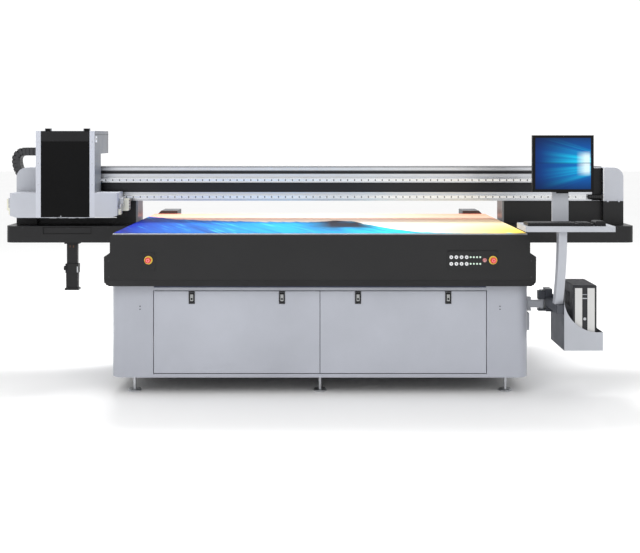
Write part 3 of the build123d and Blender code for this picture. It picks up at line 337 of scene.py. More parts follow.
def screen_picture(x0, x1, z0, z1):
    """A plain desktop: blue, with soft rays spreading from a bright right side."""
    s = Surface("screen_picture", srgb(4, 30, 70), 0.14)
    s.set("Specular IOR Level", 0.15)
    u = s.rise(s.axis("X"), x0, x1)
    v = s.ranged(s.axis("Z"), -1, 1, z0, z1)
    height = s.math("ABSOLUTE", v)
    spread = s.math("DIVIDE", v, s.math("ADD", s.times(u, -0.72), 1.25))
    rays = s.nodes.new("ShaderNodeTexNoise")
    rays.noise_dimensions = "1D"
    rays.inputs["Scale"].default_value = 4.5
    rays.inputs["Detail"].default_value = 5
    s.feed(rays.inputs["W"], spread)
    body = s.fall(s.math("ABSOLUTE", spread), 0.25, 1.05)
    ray = s.ranged(rays.outputs["Fac"], 0.1, 1.2, 0.38, 0.62)
    near = s.math("POWER", s.rise(u, 0.05, 0.92), 1.7)
    glow = s.times(s.times(body, near), ray)
    tint = s.blended(s.rise(u, 0.0, 0.7), srgb(4, 44, 110), srgb(6, 92, 176))
    tint = s.blended(s.times(s.rise(height, 0.45, 1.0), 0.75), tint, srgb(2, 24, 66))
    tint = s.blended(glow, tint, srgb(20, 222, 255))
    window = s.times(s.rise(u, 0.74, 0.9), s.fall(u, 0.97, 1.0))
    hot = s.times(s.times(window, s.fall(height, 0.3, 0.5)), 0.85)
    tint = s.blended(hot, tint, srgb(236, 255, 255))
    off_line = s.math("ABSOLUTE", s.math("SUBTRACT", v, 0.02))
    line = s.times(s.math("LESS_THAN", off_line, 0.016), 0.7)
    tint = s.blended(line, tint, srgb(3, 40, 96))
    s.paint(s.blended(0.9, tint, srgb(2, 8, 18)))
    s.set("Emission Color", tint)
    s.set("Emission Strength", 0.95)
    return s.mat


def indicator_lens():
    """The small indicators are green; the alarm lamp, furthest right, is red."""
    s = Surface("indicator_lens", srgb(158, 40, 46), 0.16)
    green_end_x = 1.012
    tint = s.blended(s.below("X", green_end_x), s.colour, srgb(196, 226, 204))
    frosted = s.blended(0.3, tint, srgb(255, 255, 255))
    s.paint(s.blended(s.rise(s.noise(80, 3)), tint, frosted))
    s.bump(s.noise(900, 2), 0.05, 0.0004)
    s.set("Coat Weight", 0.8)
    return s.mat


cabinet_grey = srgb(168, 171, 180)
station_grey = srgb(174, 177, 184)
black_sheet = powder_coat("black_sheet", srgb(38, 38, 39), 0.38, shine=0.2)
dark_sheet = powder_coat("dark_sheet", srgb(70, 72, 76), 0.42, shine=0.3)
upright_coat = powder_coat("upright_coat", srgb(128, 130, 134), 0.34)
cabinet_coat = powder_coat("cabinet_coat", cabinet_grey, 0.4)
station_coat = powder_coat("station_coat", station_grey, 0.36)
lamp_coat = powder_coat("lamp_coat", srgb(184, 187, 195), 0.36)
satin_black = moulded_plastic("satin_black", srgb(24, 24, 26), 0.42, shine=0.2)
latch_grey = moulded_plastic("latch_grey", srgb(156, 158, 158), 0.35)
cap_pink = moulded_plastic("cap_ring", srgb(240, 150, 146), 0.3)
cap_red = moulded_plastic("cap_centre", srgb(214, 60, 62), 0.3)
seam_black = moulded_plastic("seam_black", srgb(8, 8, 9), 0.6, shine=0.05)
pale_plastic = moulded_plastic("pale_plastic", srgb(232, 233, 235), 0.35)
cream_plastic = moulded_plastic("cream_plastic", cream, 0.4)
plug_dark = moulded_plastic("plug_dark", srgb(52, 53, 56), 0.45)
ground_steel = brushed_metal("ground_steel", srgb(214, 216, 219), 0.22)
screw_steel = brushed_metal("screw_steel", srgb(180, 182, 186), 0.28, (30, 30, 1))
bright_zinc = brushed_metal("bright_zinc", srgb(196, 198, 202), 0.3, (20, 20, 1))
anodised = brushed_metal("anodised", srgb(198, 200, 205), 0.36)


def paint_frame():
    """Every carried-over node gets its finish."""
    # the navy strip on the surround is a painted shadow
    surround = powder_coat("surround_coat", cabinet_grey, 0.4, fascia_gap_shadow)
    door = powder_coat("door_coat", srgb(172, 175, 184), 0.4, latch_face)
    # the head's grey base colour is painted shade on its sides and inside; only its
    # front edges keep the white
    head = powder_coat("head_shaded_coat", srgb(112, 115, 121), 0.4, head_painted_side_shade)
    cap = powder_coat("cap_coat", srgb(182, 185, 193), 0.36, buffer_end)
    column = powder_coat("column_coat", station_grey, 0.36, column_hub)
    holder = powder_coat("holder_coat", station_grey, 0.38, holder_side_shade)
    lamp_box = powder_coat("lamp_box_coat", srgb(182, 185, 193), 0.36, lamp_plugs)
    # the beam's darkened channels and bands are painted shade
    beam = brushed_metal("beam_extrusion", srgb(204, 206, 211), 0.33, (1, 60, 60),
                         beam_channel_shade)
    case = moulded_plastic("case_black", srgb(46, 47, 50), 0.4, shine=0.2)
    bezel = moulded_plastic("bezel_black", srgb(14, 14, 16), 0.4, shine=0.12)
    chain = moulded_plastic("chain_nylon", srgb(48, 48, 50), 0.5)
    cover = gloss("cover_gloss", srgb(8, 8, 9), 0.1, 0.0, 0.12)
    collar = gloss("collar_yellow", srgb(232, 196, 70), 0.3, 0.3)
    mushroom = gloss("mushroom_red", srgb(212, 48, 48), 0.2, 0.6)
    finishes = {
        cabinet_coat: ["corner_panels", "side_panels", "rear_panel", "control_box"],
        black_sheet: ["control_plate", "fascia", "skirt_sides", "upper_boxes",
                      "lower_boxes", "service_post"],
        dark_sheet: ["base_frame", "rear_skirt", "vacuum_pump"],
        station_coat: ["side_bracket", "swing_arm", "keyboard_tray"],
        satin_black: ["y_motors", "keyboard_mouse"]
        + [f"latch_paddle_{n}" for n in range(1, 5)],
        pale_plastic: ["button_housings"] + [f"button_{n}" for n in range(1, 9)],
        upright_coat: ["uprights"],
        ground_steel: ["x_rails", "y_rails"],
        screw_steel: ["y_screw_left", "y_screw_right"],
        anodised: ["vacuum_table", "saddles", "chain_trough", "carriage_plate",
                   "printheads"],
        bright_zinc: ["levelling_feet"],
        surround: ["door_surround"],
        door: ["door_left", "door_right"],
        head: ["head_shell"],
        cap: ["end_caps"],
        column: ["station_column"],
        holder: ["pc_holder"],
        lamp_box: ["uv_lamps"],
        beam: ["gantry_beam"],
        printed_sheet(): ["printed_board"],
        case: ["pc_case"],
        bezel: ["monitor"],
        chain: ["x_chain"],
        cover: ["front_cover"],
        collar: ["estop_collars"],
        mushroom: ["estop_left", "estop_right"],
        indicator_lens(): ["panel_lamps"],
    }
    for material, names in finishes.items():
        for name in names:
            slots = nodes_in_frame[name].data.materials
            slots.clear()
            slots.append(material)


paint_frame()


# ---------------------------------------------------------------- geometry trees
SOCKETS = {"float": "NodeSocketFloat", "int": "NodeSocketInt",
           "vector": "NodeSocketVector", "object": "NodeSocketObject",
           "material": "NodeSocketMaterial", "geometry": "NodeSocketGeometry"}


class Tree:
    """A geometry tree that takes named inputs and ends in real, painted mesh."""

    def __init__(self, name, **inputs):
        self.group = bpy.data.node_groups.new(name, "GeometryNodeTree")
        self.socket("Geometry", "geometry")
        for label, kind in inputs.items():
            self.socket(label, kind)
        self.socket("Finish", "material")
        self.socket("Geometry", "geometry", "OUTPUT")
        self.given = self.node("NodeGroupInput").outputs
        self.out = self.group.nodes.new("NodeGroupOutput")

    def socket(self, label, kind, way="INPUT"):
        self.group.interface.new_socket(name=label, in_out=way,
                                        socket_type=SOCKETS[kind])

    def node(self, kind, **sockets):
        node = self.group.nodes.new(kind)
        for label, value in sockets.items():
            self.feed(node.inputs[label], value)
        return node

    def feed(self, socket, value):
        if isinstance(value, bpy.types.NodeSocket):
            self.group.links.new(value, socket)
        else:
            socket.default_value = value

    def finish(self, geometry):
        real = self.node("GeometryNodeRealizeInstances", Geometry=geometry)
        painted = self.node("GeometryNodeSetMaterial", Geometry=real.outputs[0],
                            Material=self.given["Finish"])
        self.feed(self.out.inputs[0], painted.outputs[0])
        return self


def studs_tree():
    """Round heads on given points, turned to face one way."""
    t = Tree("round_studs", Radius="float", Depth="float", Sides="int", Turn="vector")
    head = t.node("GeometryNodeMeshCylinder", Vertices=t.given["Sides"],
                  Radius=t.given["Radius"], Depth=t.given["Depth"])
    placed = t.node("GeometryNodeInstanceOnPoints", Points=t.given["Geometry"],
                    Instance=head.outputs["Mesh"], Rotation=t.given["Turn"])
    return t.finish(placed.outputs["Instances"])


def blocks_tree():
    """Small blocks on given points."""
    t = Tree("small_blocks", Size="vector")
    block = t.node("GeometryNodeMeshCube", Size=t.given["Size"])
    placed = t.node("GeometryNodeInstanceOnPoints", Points=t.given["Geometry"],
                    Instance=block.outputs["Mesh"])
    return t.finish(placed.outputs["Instances"])


def path_tree():
    """A shape repeated along a curve, turned with it."""
    t = Tree("along_path", Pitch="float", Shape="object")
    walk = t.node("GeometryNodeCurveToPoints", Curve=t.given["Geometry"])
    walk.mode = "LENGTH"
    t.feed(walk.inputs["Length"], t.given["Pitch"])
    shape = t.node("GeometryNodeObjectInfo", Object=t.given["Shape"])
    placed = t.node("GeometryNodeInstanceOnPoints", Points=walk.outputs["Points"],
                    Instance=shape.outputs["Geometry"],
                    Rotation=walk.outputs["Rotation"])
    return t.finish(placed.outputs["Instances"])


studs, blocks, along_path = studs_tree(), blocks_tree(), path_tree()
FACE_FRONT = (pi / 2, 0, 0)
FACE_UP = (0, 0, 0)
FACE_SIDE = (0, pi / 2, 0)


def keep(name, mesh, body):
    """Shows a mesh as a piece that rides on one body."""
    mesh.name = name
    obj = bpy.data.objects.new(name, mesh)
    bpy.context.scene.collection.objects.link(obj)
    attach(obj, body)
    return obj


def grow(tree, name, body, source, **values):
    """Runs a tree on a mesh or curve and keeps the result as a plain mesh."""
    seed = bpy.data.objects.new(name + "_seed", source)
    bpy.context.scene.collection.objects.link(seed)
    modifier = seed.modifiers.new(name, "NODES")
    modifier.node_group = tree.group
    for item in tree.group.interface.items_tree:
        if item.in_out == "INPUT" and item.name in values:
            modifier[item.identifier] = values[item.name]
    bpy.context.view_layer.update()
    depsgraph = bpy.context.evaluated_depsgraph_get()
    mesh = bpy.data.meshes.new_from_object(seed.evaluated_get(depsgraph))
    bpy.data.objects.remove(seed)
    return keep(name, mesh, body)


def points_mesh(points):
    mesh = bpy.data.meshes.new("points")
    mesh.from_pydata([tuple(p) for p in points], [], [])
    return mesh


def add_studs(name, body, points, radius, depth, turn, finish, sides=12):
    return grow(studs, name, body, points_mesh(points), Radius=radius, Depth=depth,
                Sides=sides, Turn=turn, Finish=finish)


def add_blocks(name, body, points, size, finish):
    return grow(blocks, name, body, points_mesh(points), Size=size, Finish=finish)


def spaced(start, end, count):
    """Evenly spaced points from start to end, both included."""
    a, b = Vector(start), Vector(end)
    return [a.lerp(b, n / (count - 1)) for n in range(count)]


# ---------------------------------------------------------------- modelled pieces
def box_mesh(bm, low, high):
    """Adds a box between two corners to a mesh being made."""
    size = [h - l for l, h in zip(low, high)]
    mid = [(h + l) / 2 for l, h in zip(low, high)]
    matrix = Matrix.Translation(mid) @ Matrix.Diagonal((*size, 1))
    bmesh.ops.create_cube(bm, size=1, matrix=matrix)


def mesh_from(bm, name):
    mesh = bpy.data.meshes.new(name)
    bm.to_mesh(mesh)
    bm.free()
    return mesh


def solid(name, body, boxes, finish, bevel=0.0):
    """One piece of one or more boxes, with softened edges."""
    bm = bmesh.new()
    for low, high in boxes:
        box_mesh(bm, low, high)
    if bevel:
        bmesh.ops.bevel(bm, geom=list(bm.edges), offset=bevel, segments=2,
                        affect="EDGES", profile=0.6, clamp_overlap=True)
    mesh = mesh_from(bm, name)
    mesh.materials.append(finish)
    return keep(name, mesh, body)


def rail_details():
    """Bolt plugs in the guide rails, with painted highlights on the gantry rails' steel
    between the plugs.
    """
    (x0, y0, z0), (x1, _, z1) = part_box("x_rails")
    rail_half, pitch, inset, skin = 0.017, 0.05, 0.025, 0.0008
    count = int((x1 - x0 - 2 * inset) / pitch) + 1
    first, last = x0 + inset, x0 + inset + pitch * (count - 1)
    points = []
    for z in (z0 + rail_half, z1 - rail_half):
        points += spaced((first, y0, z), (last, y0, z), count)
    add_blocks("x_rail_plugs", "gantry", points, (0.007, skin, 0.010), plug_dark)
    # the pale pieces between the plugs are a painted highlight on the rails' bare steel
    between = [(x + pitch / 2, y, z) for x, y, z in points if x + pitch < x1]
    add_blocks("x_rail_strips", "gantry", between, (0.041, skin, 0.014), pale_plastic)
    (x0, y0, _), (x1, y1, top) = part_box("y_rails")
    rail_half, inset, per_rail = 0.0115, 0.03, 28
    points = []
    for x in (x0 + rail_half, x1 - rail_half):
        points += spaced((x, y0 + inset, top), (x, y1 - inset, top), per_rail)
    add_studs("y_rail_plugs", "base", points, 0.0048, skin, FACE_UP, plug_dark)


def screw_threads():
    """Raised turns along each ball screw."""
    inset, turns, core_r, crest_r, crest_depth = 0.04, 150, 0.0088, 0.00998, 0.006
    for side, body in (("left", "screw_l"), ("right", "screw_r")):
        (x0, y0, z0), (x1, y1, z1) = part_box(f"y_screw_{side}")
        x, y, z = (x0 + x1) / 2, (y0 + y1) / 2, (z0 + z1) / 2
        points = spaced((x, y0 + inset, z), (x, y1 - inset, z), turns)
        add_studs(f"screw_turns_{side}", body, points, crest_r, crest_depth, FACE_FRONT,
                  screw_steel, 16)
        core = add_studs(f"screw_core_{side}", body, [(x, y, z)], core_r, y1 - y0,
                         FACE_FRONT, ground_steel, 24)
        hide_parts(f"y_screw_{side}")


def link_shape():
    """One link of the cable chain: two side plates and two cross bars."""
    (_, y0, _), (_, y1, _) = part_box("x_chain")
    half_wide, half_high, half_long = (y1 - y0 - 0.001) / 2, 0.02975, 0.01225
    plate, bar_half = 0.006, 0.009
    bm = bmesh.new()
    for side in (-1, 1):
        inner, outer = sorted((side * (half_wide - plate), side * half_wide))
        box_mesh(bm, (inner, -half_high, -half_long), (outer, half_high, half_long))
        inner, outer = sorted((side * (half_high - plate), side * half_high))
        reach = half_wide - 0.004
        box_mesh(bm, (-reach, inner, -bar_half), (reach, outer, bar_half))
    return bpy.data.objects.new("chain_link_shape", mesh_from(bm, "chain_link"))


def chain_route():
    """The chain's middle line: upper run, tight and wide quarter turns, lower run."""
    (x0, y0, z0), (x1, y1, z1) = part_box("x_chain")
    half, tight_r, quarter = 0.03, 0.062, 12
    y, left, top, low = (y0 + y1) / 2, x0 + half, z1 - half, z0 + half
    wide_r = top - low - tight_r
    (head_x0, _, _), (head_x1, _, _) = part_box("head_shell")
    clamp_x = (head_x0 + head_x1) / 2 + 0.04
    route = spaced((clamp_x, y, top), (left + tight_r, y, top), 7)
    for radius, first in ((tight_r, pi / 2), (wide_r, pi)):
        for n in range(1, quarter + 1):
            turn = first + pi / 2 * n / quarter
            route.append(Vector((left + radius + radius * cos(turn), y,
                                 top - tight_r + radius * sin(turn))))
    return route + spaced((left + wide_r + 0.05, y, low), (x1, y, low), 14)


def chain_core(route):
    """The cables' dark bulk inside the links, one closed strip."""
    half_high, half_wide = 0.026, 0.034
    wide = Vector((0, half_wide, 0))
    bm = bmesh.new()
    rings = []
    for n, place in enumerate(route):
        ahead = route[min(n + 1, len(route) - 1)] - route[max(n - 1, 0)]
        out = Vector((ahead.z, 0, -ahead.x)).normalized() * half_high
        corners = (out + wide, out - wide, -out - wide, -out + wide)
        rings.append([bm.verts.new(place + corner) for corner in corners])
    for a, b in zip(rings, rings[1:]):
        for k in range(4):
            bm.faces.new((a[k], a[(k + 1) % 4], b[(k + 1) % 4], b[k]))
    bm.faces.new(rings[0][::-1])
    bm.faces.new(rings[-1])
    bmesh.ops.recalc_face_normals(bm, faces=bm.faces)
    mesh = mesh_from(bm, "chain_core")
    mesh.materials.append(satin_black)
    keep("chain_core", mesh, "carriage")


def cable_chain():
    """Links strung along the chain's line, round its core."""
    route = chain_route()
    curve = bpy.data.curves.new("chain_path", "CURVE")
    curve.dimensions = "3D"
    spline = curve.splines.new("POLY")
    spline.points.add(len(route) - 1)
    for point, place in zip(spline.points, route):
        point.co = (*place, 1)
    shape = link_shape()
    nylon = moulded_plastic("link_nylon", srgb(62, 62, 64), 0.46)
    links = grow(along_path, "chain_links", "carriage", curve, Pitch=0.027, Shape=shape,
                 Finish=nylon)
    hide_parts("x_chain")
    chain_core(route)
    bpy.data.objects.remove(shape)


def keyboard_keys():
    """Rows of keys on the keyboard's top, with a gap for the space bar."""
    back_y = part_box("keyboard_mouse")[1][1]
    (tray_x0, _, _), (_, _, tray_z1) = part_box("keyboard_tray")
    x0, top = tray_x0 + 0.017, tray_z1 + 0.016
    key, pitch_x, pitch_y, rows, columns, gap_column = 0.0165, 0.0192, 0.0195, 6, 20, 15
    points = []
    for row in range(rows):
        for column in range(columns):
            over_bar = row == rows - 1 and 3 < column < 10
            if column != gap_column and not over_bar:
                points.append((x0 + 0.0115 + column * pitch_x,
                               back_y - 0.014 - row * pitch_y, top + 0.001))
    add_blocks("keyboard_keys", "station", points, (key, key, 0.005),
               moulded_plastic("key_black", srgb(44, 45, 48), 0.5))
    bar = [((x0 + 0.081, back_y - 0.12, top),
            (x0 + 0.19, back_y - 0.103, top + 0.0035))]
    solid("space_bar", "station", bar,
          moulded_plastic("bar_black", srgb(44, 45, 48), 0.5), 0.001)


def control_panel_details():
    """Screws of the two switch plates, and the larger plate's top edge."""
    (x0, y0, z0), (x1, _, z1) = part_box("control_plate")
    large_x0, small_x1, small_z1, inset = 0.797, x0 + 0.092, 0.912, 0.008
    y = y0 - 0.0006
    points = []
    for x in (large_x0 + inset, (large_x0 + x1) / 2, x1 - inset):
        points += [(x, y, z0 + inset), (x, y, z1 - inset)]
    for x in (x0 + inset, small_x1 - inset):
        points += [(x, y, z0 + inset), (x, y, small_z1 - inset)]
    add_studs("panel_screws", "base", points, 0.0036, 0.0018, FACE_FRONT, satin_black)
    edge = [((large_x0, y0 - 0.0012, z1 - 0.004), (x1, y0, z1 - 0.001))]
    solid("panel_top_edge", "base", edge, satin_black)


def front_centre(node, ahead):
    """The middle of a node's front, a little ahead of it."""
    (x0, y0, z0), (x1, _, z1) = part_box(node)
    return [((x0 + x1) / 2, y0 - ahead, (z0 + z1) / 2)]


def button_icons():
    """A dark dot in the middle of every push button."""
    for n in range(1, 9):
        add_studs(f"button_dot_{n}", f"push_{n}", front_centre(f"button_{n}", 0.0002),
                  0.0034, 0.0008, FACE_FRONT, satin_black, 16)


def stop_marks():
    """A paler ring moulded into the face of each emergency stop."""
    for side in ("left", "right"):
        node, body = f"estop_{side}", f"estop_{side[0]}"
        add_studs(f"stop_ring_{side}", body, front_centre(node, 0.0002),
                  0.0105, 0.0009, FACE_FRONT, cap_pink, 28)
        add_studs(f"stop_centre_{side}", body, front_centre(node, 0.0005),
                  0.0066, 0.0009, FACE_FRONT, cap_red, 24)


def cabinet_details():
    """Screws in the covers, and vents in the side and rear panels."""
    (x0, _, z0), (x1, _, z1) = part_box("side_panels")
    screws = [(x, cabinet_front_y - 0.0006, z) for x in (-1.141, 1.141)
              for z in (0.543, 0.562)]
    add_studs("front_screws", "base", screws, 0.0038, 0.0016, FACE_FRONT, satin_black)
    vent_z, skin = 0.2, 0.001
    slats = [(x, y, vent_z + n * 0.018) for y in (-0.45, 0.45)
             for x in (x1 - skin, x0 + skin) for n in range(12)]
    add_blocks("side_vent_slats", "base", slats, (0.008, 0.26, 0.006), cabinet_coat)
    rear_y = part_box("rear_panel")[1][1]
    slats = [(x, rear_y - skin, vent_z + n * 0.02) for x in (-0.85, -0.3, 0.3, 0.85)
             for n in range(14)]
    add_blocks("rear_vent_slats", "base", slats, (0.34, 0.008, 0.007), cabinet_coat)
    seams = [((x - 0.0012, rear_y, z0 + 0.004),
              (x + 0.0012, rear_y + 0.0006, z1 - 0.004)) for x in (-0.6, 0.0, 0.6)]
    solid("rear_seams", "base", seams, satin_black)


def latch_details():
    """A plate and a key hole on each door latch."""
    half_wide, skin = 0.0095, 0.0006
    for n in range(1, 5):
        (x0, y0, z0), (x1, _, z1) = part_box(f"latch_paddle_{n}")
        mid = (x0 + x1) / 2
        plate = [((mid - half_wide, y0 - skin, z0 + 0.007),
                  (mid + half_wide, y0, z1 - 0.009))]
        solid(f"latch_plate_{n}", f"paddle_{n}", plate, latch_grey, 0.0002)
        add_studs(f"latch_key_{n}", f"paddle_{n}", [(mid, y0 - 0.0008, z0 + 0.021)],
                  0.0062, 0.0008, FACE_FRONT, seam_black, 16)


def fascia_details():
    """End-panel screws, a black line of painted shade along the front's fold, and the
    side skirts' screws.
    """
    (x0, y0, _), (x1, y1, _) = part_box("fascia")
    screws = [(x, y0 - 0.0006, z) for x in (x0 + 0.03, x1 - 0.03) for z in (0.76, 0.86)]
    add_studs("fascia_screws", "base", screws, 0.004, 0.0016, FACE_FRONT, plug_dark)
    # the line along the fold is painted shade, where the lower bevel turns away from
    # the light
    fold_z, half = 0.741, 0.0008
    fold = [((x0 + 0.003, y0 - 0.0005, fold_z - half), (x1 - 0.003, y0, fold_z + half))]
    solid("fascia_fold", "base", fold, satin_black)
    (x0, _, _), (x1, _, _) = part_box("skirt_sides")
    screws = [(x, y1 + 0.04 + n * 0.27, 0.73) for x in (x0 - 0.0004, x1 + 0.0004)
              for n in range(7)]
    add_studs("skirt_screws", "base", screws, 0.0045, 0.0016, FACE_SIDE, screw_steel)


def table_edge():
    """The bright extruded rim along the table's front and sides."""
    (x0, y0, _), (x1, y1, top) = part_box("vacuum_table")
    low, high, front, side = top - 0.007, top - 0.0005, 0.004, 0.002
    boxes = [((x0, y0 - front, low), (x1, y0, high)),
             ((x0 - side, y0, low), (x0, y1, high)),
             ((x1, y0, low), (x1 + side, y1, high))]
    solid("table_rim", "base", boxes, anodised, 0.0008)


def cap_details():
    """Trim of the gantry's end caps: seams below, tabs, and bright inner edges."""
    y0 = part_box("end_caps")[0][1]
    seams, tabs, edges = [], [], []
    for side in (-1, 1):
        x = side * cap_inner_x
        seams.append(((x - 0.0012, y0 - 0.001, 1.007), (x + 0.0012, y0, 1.171)))
        a, b = sorted((x, side * (cap_inner_x + 0.005)))
        edges.append(((a, y0 - 0.0015, 1.176), (b, y0 + 0.002, 1.412)))
        for x in (side * 2.075, side * 2.155):
            tabs.append(((x - 0.006, y0 - 0.001, 1.166), (x + 0.006, y0 + 0.001, 1.18)))
    solid("housing_seams", "gantry", seams, satin_black)
    solid("cap_tabs", "gantry", tabs, lamp_coat, 0.0004)
    solid("cap_inner_edges", "gantry", edges, pale_plastic, 0.0006)


def housing_details():
    """Screws of the lower boxes, and the drawer in the left one."""
    (_, y0, z0), (_, _, z1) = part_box("lower_boxes")
    screws = [(x, y0 - 0.0004, z) for x in (-1.5, -2.1, 1.5, 2.1)
              for z in (z0 + 0.012, z1 - 0.012)]
    add_studs("housing_screws", "gantry", screws, 0.0038, 0.0016, FACE_FRONT, plug_dark)
    x0, x1, low, high, line = -1.956, -1.616, 0.950, 0.999, 0.0022
    front, back = y0 - 0.0004, y0 + 0.0005
    outline = [((x0, front, low), (x1, back, low + line)),
               ((x0, front, low), (x0 + line, back, high)),
               ((x1 - line, front, low), (x1, back, high)),
               ((x0, front, high - line), (x1, back, high))]
    solid("drawer_outline", "gantry", outline, seam_black)
    grip = [((-1.80, y0 - 0.001, 0.990), (-1.772, y0 + 0.006, 0.995))]
    solid("drawer_grip", "gantry", grip, plug_dark, 0.0008)


def beam_details():
    """Dark covers on the beam's ends and slots along its back."""
    (x0, y0, z0), (x1, y1, z1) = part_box("gantry_beam")
    ends = []
    for side in (-1, 1):
        a, b = sorted((side * 1.972, side * (cap_inner_x - 0.001)))
        ends.append(((a, y0 - 0.0015, z0 + 0.002), (b, y0, z1 - 0.012)))
    solid("beam_end_covers", "gantry", ends, satin_black)
    slots = [((x0 + 0.01, y1, z), (x1 - 0.01, y1 + 0.0012, z + 0.012))
             for z in (1.2, 1.38)]
    solid("beam_back_slots", "gantry", slots, satin_black)


def buffer_rings():
    """Grooved rubber end of the carriage's stop."""
    points = [(1.945 + n * 0.014, 0.064, 1.201) for n in range(7)]
    add_studs("buffer_ribs", "gantry", points, 0.0185, 0.007, FACE_SIDE,
              satin_black, 24)


def post_details():
    """The service post's clamp catch, and the contacts above it."""
    mid, clamp_y = -1.761, -0.066
    front = clamp_y - 0.0015
    latch = [((mid + 0.036, front, 0.674), (mid + 0.0445, clamp_y, 0.716))]
    solid("post_latch", "gantry", latch, screw_steel, 0.0005)
    clip = [((mid - 0.0445, front, 0.69), (mid - 0.03, clamp_y, 0.73))]
    solid("post_clip", "gantry", clip, satin_black, 0.0005)
    points = [(mid + x, -0.0584, 0.858) for x in (-0.014, 0.01)]
    add_blocks("post_contacts", "gantry", points, (0.007, 0.0012, 0.016),
               moulded_plastic("contact_brown", srgb(92, 62, 44), 0.4))


def cover_details():
    """The glossy cover's matt top band, its lips and its catch."""
    (x0, y0, _), (x1, _, _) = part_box("front_cover")
    band = [((x0, y0 - 0.0012, 1.607), (x1, y0 + 0.0005, 1.6735))]
    solid("cover_band", "cover", band,
          powder_coat("band_coat", srgb(34, 34, 35), 0.5, shine=0.15), 0.0005)
    lips = [((x0, y0 - 0.002, low), (x1, y0, high))
            for low, high in ((1.604, 1.607), (1.0735, 1.077))]
    solid("cover_lips", "cover", lips, satin_black)
    add_studs("cover_catch", "cover", [(x0 + 0.14, y0 - 0.001, 1.0795)], 0.0045, 0.002,
              FACE_FRONT, screw_steel, 16)


def head_details():
    """The port and the seam in the head's side, and the screws of its front frame."""
    x0, x1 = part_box("head_shell")[0][0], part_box("head_shell")[1][0]
    port_x = x1 + 0.0006
    port = [((x1, -0.135, 1.597), (port_x + 0.0006, -0.085, 1.64))]
    solid("side_port", "head", port, pale_plastic, 0.0006)
    core = [((port_x, -0.117, 1.614), (port_x + 0.001, -0.103, 1.628))]
    solid("side_port_core", "head", core, satin_black)
    seam = [((x1, -0.155, 1.652), (x1 + 0.0008, 0.288, 1.654))]
    solid("side_seams", "head", seam, satin_black)
    screws = [(x, cover_front_y - 0.0005, z) for x in (x0 + 0.017, x1 - 0.017)
              for z in (1.30, 1.45, 1.6)]
    add_studs("frame_screws", "head", screws, 0.003, 0.0012, FACE_FRONT, screw_steel)


def lamp_details():
    """Fittings, terminals, pins, vents and the lower edge of the lamp boxes."""
    (_, y0, z0), (x1, y1, z1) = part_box("uv_lamps")
    (shell_x0, _, _), (shell_x1, _, _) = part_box("head_shell")
    left, right = shell_x0 - 0.181, -1.421

    def outside(width):
        """Spans of one width that stand out from the two lamp boxes' ends."""
        return (right, right + width), (left - width, left)
    fittings = []
    for a, b in outside(0.03):
        fittings.append(((a, -0.10, 1.16), (b, -0.055, 1.205)))
        fittings.append(((a + 0.008, -0.125, 1.135), (b - 0.008, -0.10, 1.16)))
    solid("lamp_fittings", "head", fittings, screw_steel, 0.003)
    terminals = [((a, -0.13, 1.088), (b, -0.08, 1.128)) for a, b in outside(0.018)]
    solid("lamp_terminals", "head", terminals, cream_plastic, 0.002)
    pins = [(x1 - 0.0005, y, z0 + 0.052 + n * 0.02) for n in range(4)
            for y in (-0.03, 0.0)]
    add_blocks("plug_pins", "head", pins, (0.002, 0.016, 0.012), satin_black)
    slots = [(right - 0.03 - n * 0.012, y1 - 0.03, z1 - 0.0005) for n in range(8)]
    add_blocks("lamp_vents", "head", slots, (0.005, 0.05, 0.002), satin_black)
    edge = [((shell_x1 + 0.001, y0 - 0.001, z0 + 0.001),
             (right - 0.001, y0, z0 + 0.005))]
    solid("lamp_lower_edge", "head", edge, pale_plastic)


def carriage_details():
    """Bolts that hold the carriage plate to its bearing blocks."""
    head_x = -1.784
    points = [(head_x + x, 0.0405, z) for x in (-0.115, 0.115)
              for z in (1.19, 1.22, 1.31, 1.34)]
    add_studs("carriage_bolts", "carriage", points, 0.0055, 0.003, FACE_FRONT,
              screw_steel)


def computer_details():
    """The computer's front bands, drive slots, switch and side vents."""
    (x0, y0, z0), (x1, _, z1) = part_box("pc_case")
    mid, band_width, slot_half = (x0 + x1) / 2, 0.045, 0.02
    bands = [((x, y0 - 0.0008, z0 + 0.01), (x + band_width, y0 + 0.002, z1 - 0.018))
             for x in (x0 + 0.0125, x1 - 0.0575)]
    solid("case_bands", "station", bands,
          powder_coat("case_band_coat", srgb(200, 200, 199), 0.34), 0.0015)
    slots = [((mid - slot_half, y0 + 0.0015, z1 - low),
              (mid + slot_half, y0 + 0.0035, z1 - high))
             for low, high in ((0.085, 0.079), (0.06, 0.057))]
    solid("case_slots", "station", slots, station_coat, 0.0006)
    add_studs("case_switch", "station", [(mid, y0 + 0.0025, z0 + 0.19)], 0.009, 0.002,
              FACE_FRONT, screw_steel, 24)
    vents = [(x, y0 + 0.08 + n * 0.012, z0 + 0.3) for x in (x1, x0) for n in range(10)]
    add_blocks("case_side_vents", "station", vents, (0.001, 0.005, 0.09), satin_black)


def screen_details():
    """The lit picture, the buttons below it, the neck's cover and the back's vents."""
    (x0, y0, z0), (x1, _, z1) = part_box("monitor")
    side, bottom, top = 0.018, 0.018, 0.016
    low = (x0 + side, y0 + 0.0003, z0 + bottom)
    high = (x1 - side, y0 + 0.0018, z1 - top)
    picture = screen_picture(low[0], high[0], low[2], high[2])
    solid("screen_image", "screen", [(low, high)], picture)
    points = [(x1 - 0.06 + n * 0.012, y0 - 0.0004, z0 + 0.008) for n in range(4)]
    add_blocks("screen_buttons", "screen", points, (0.006, 0.0012, 0.002), plug_dark)
    neck = [((1.47, -0.9315, 1.284), (1.546, -0.9295, 1.345))]
    solid("neck_cover", "station", neck, satin_black, 0.0006)
    vents = [(1.5 + n * 0.018, y0 + 0.0402, 1.56) for n in range(-6, 7)]
    add_blocks("screen_back_vents", "screen", vents, (0.006, 0.001, 0.05), plug_dark)


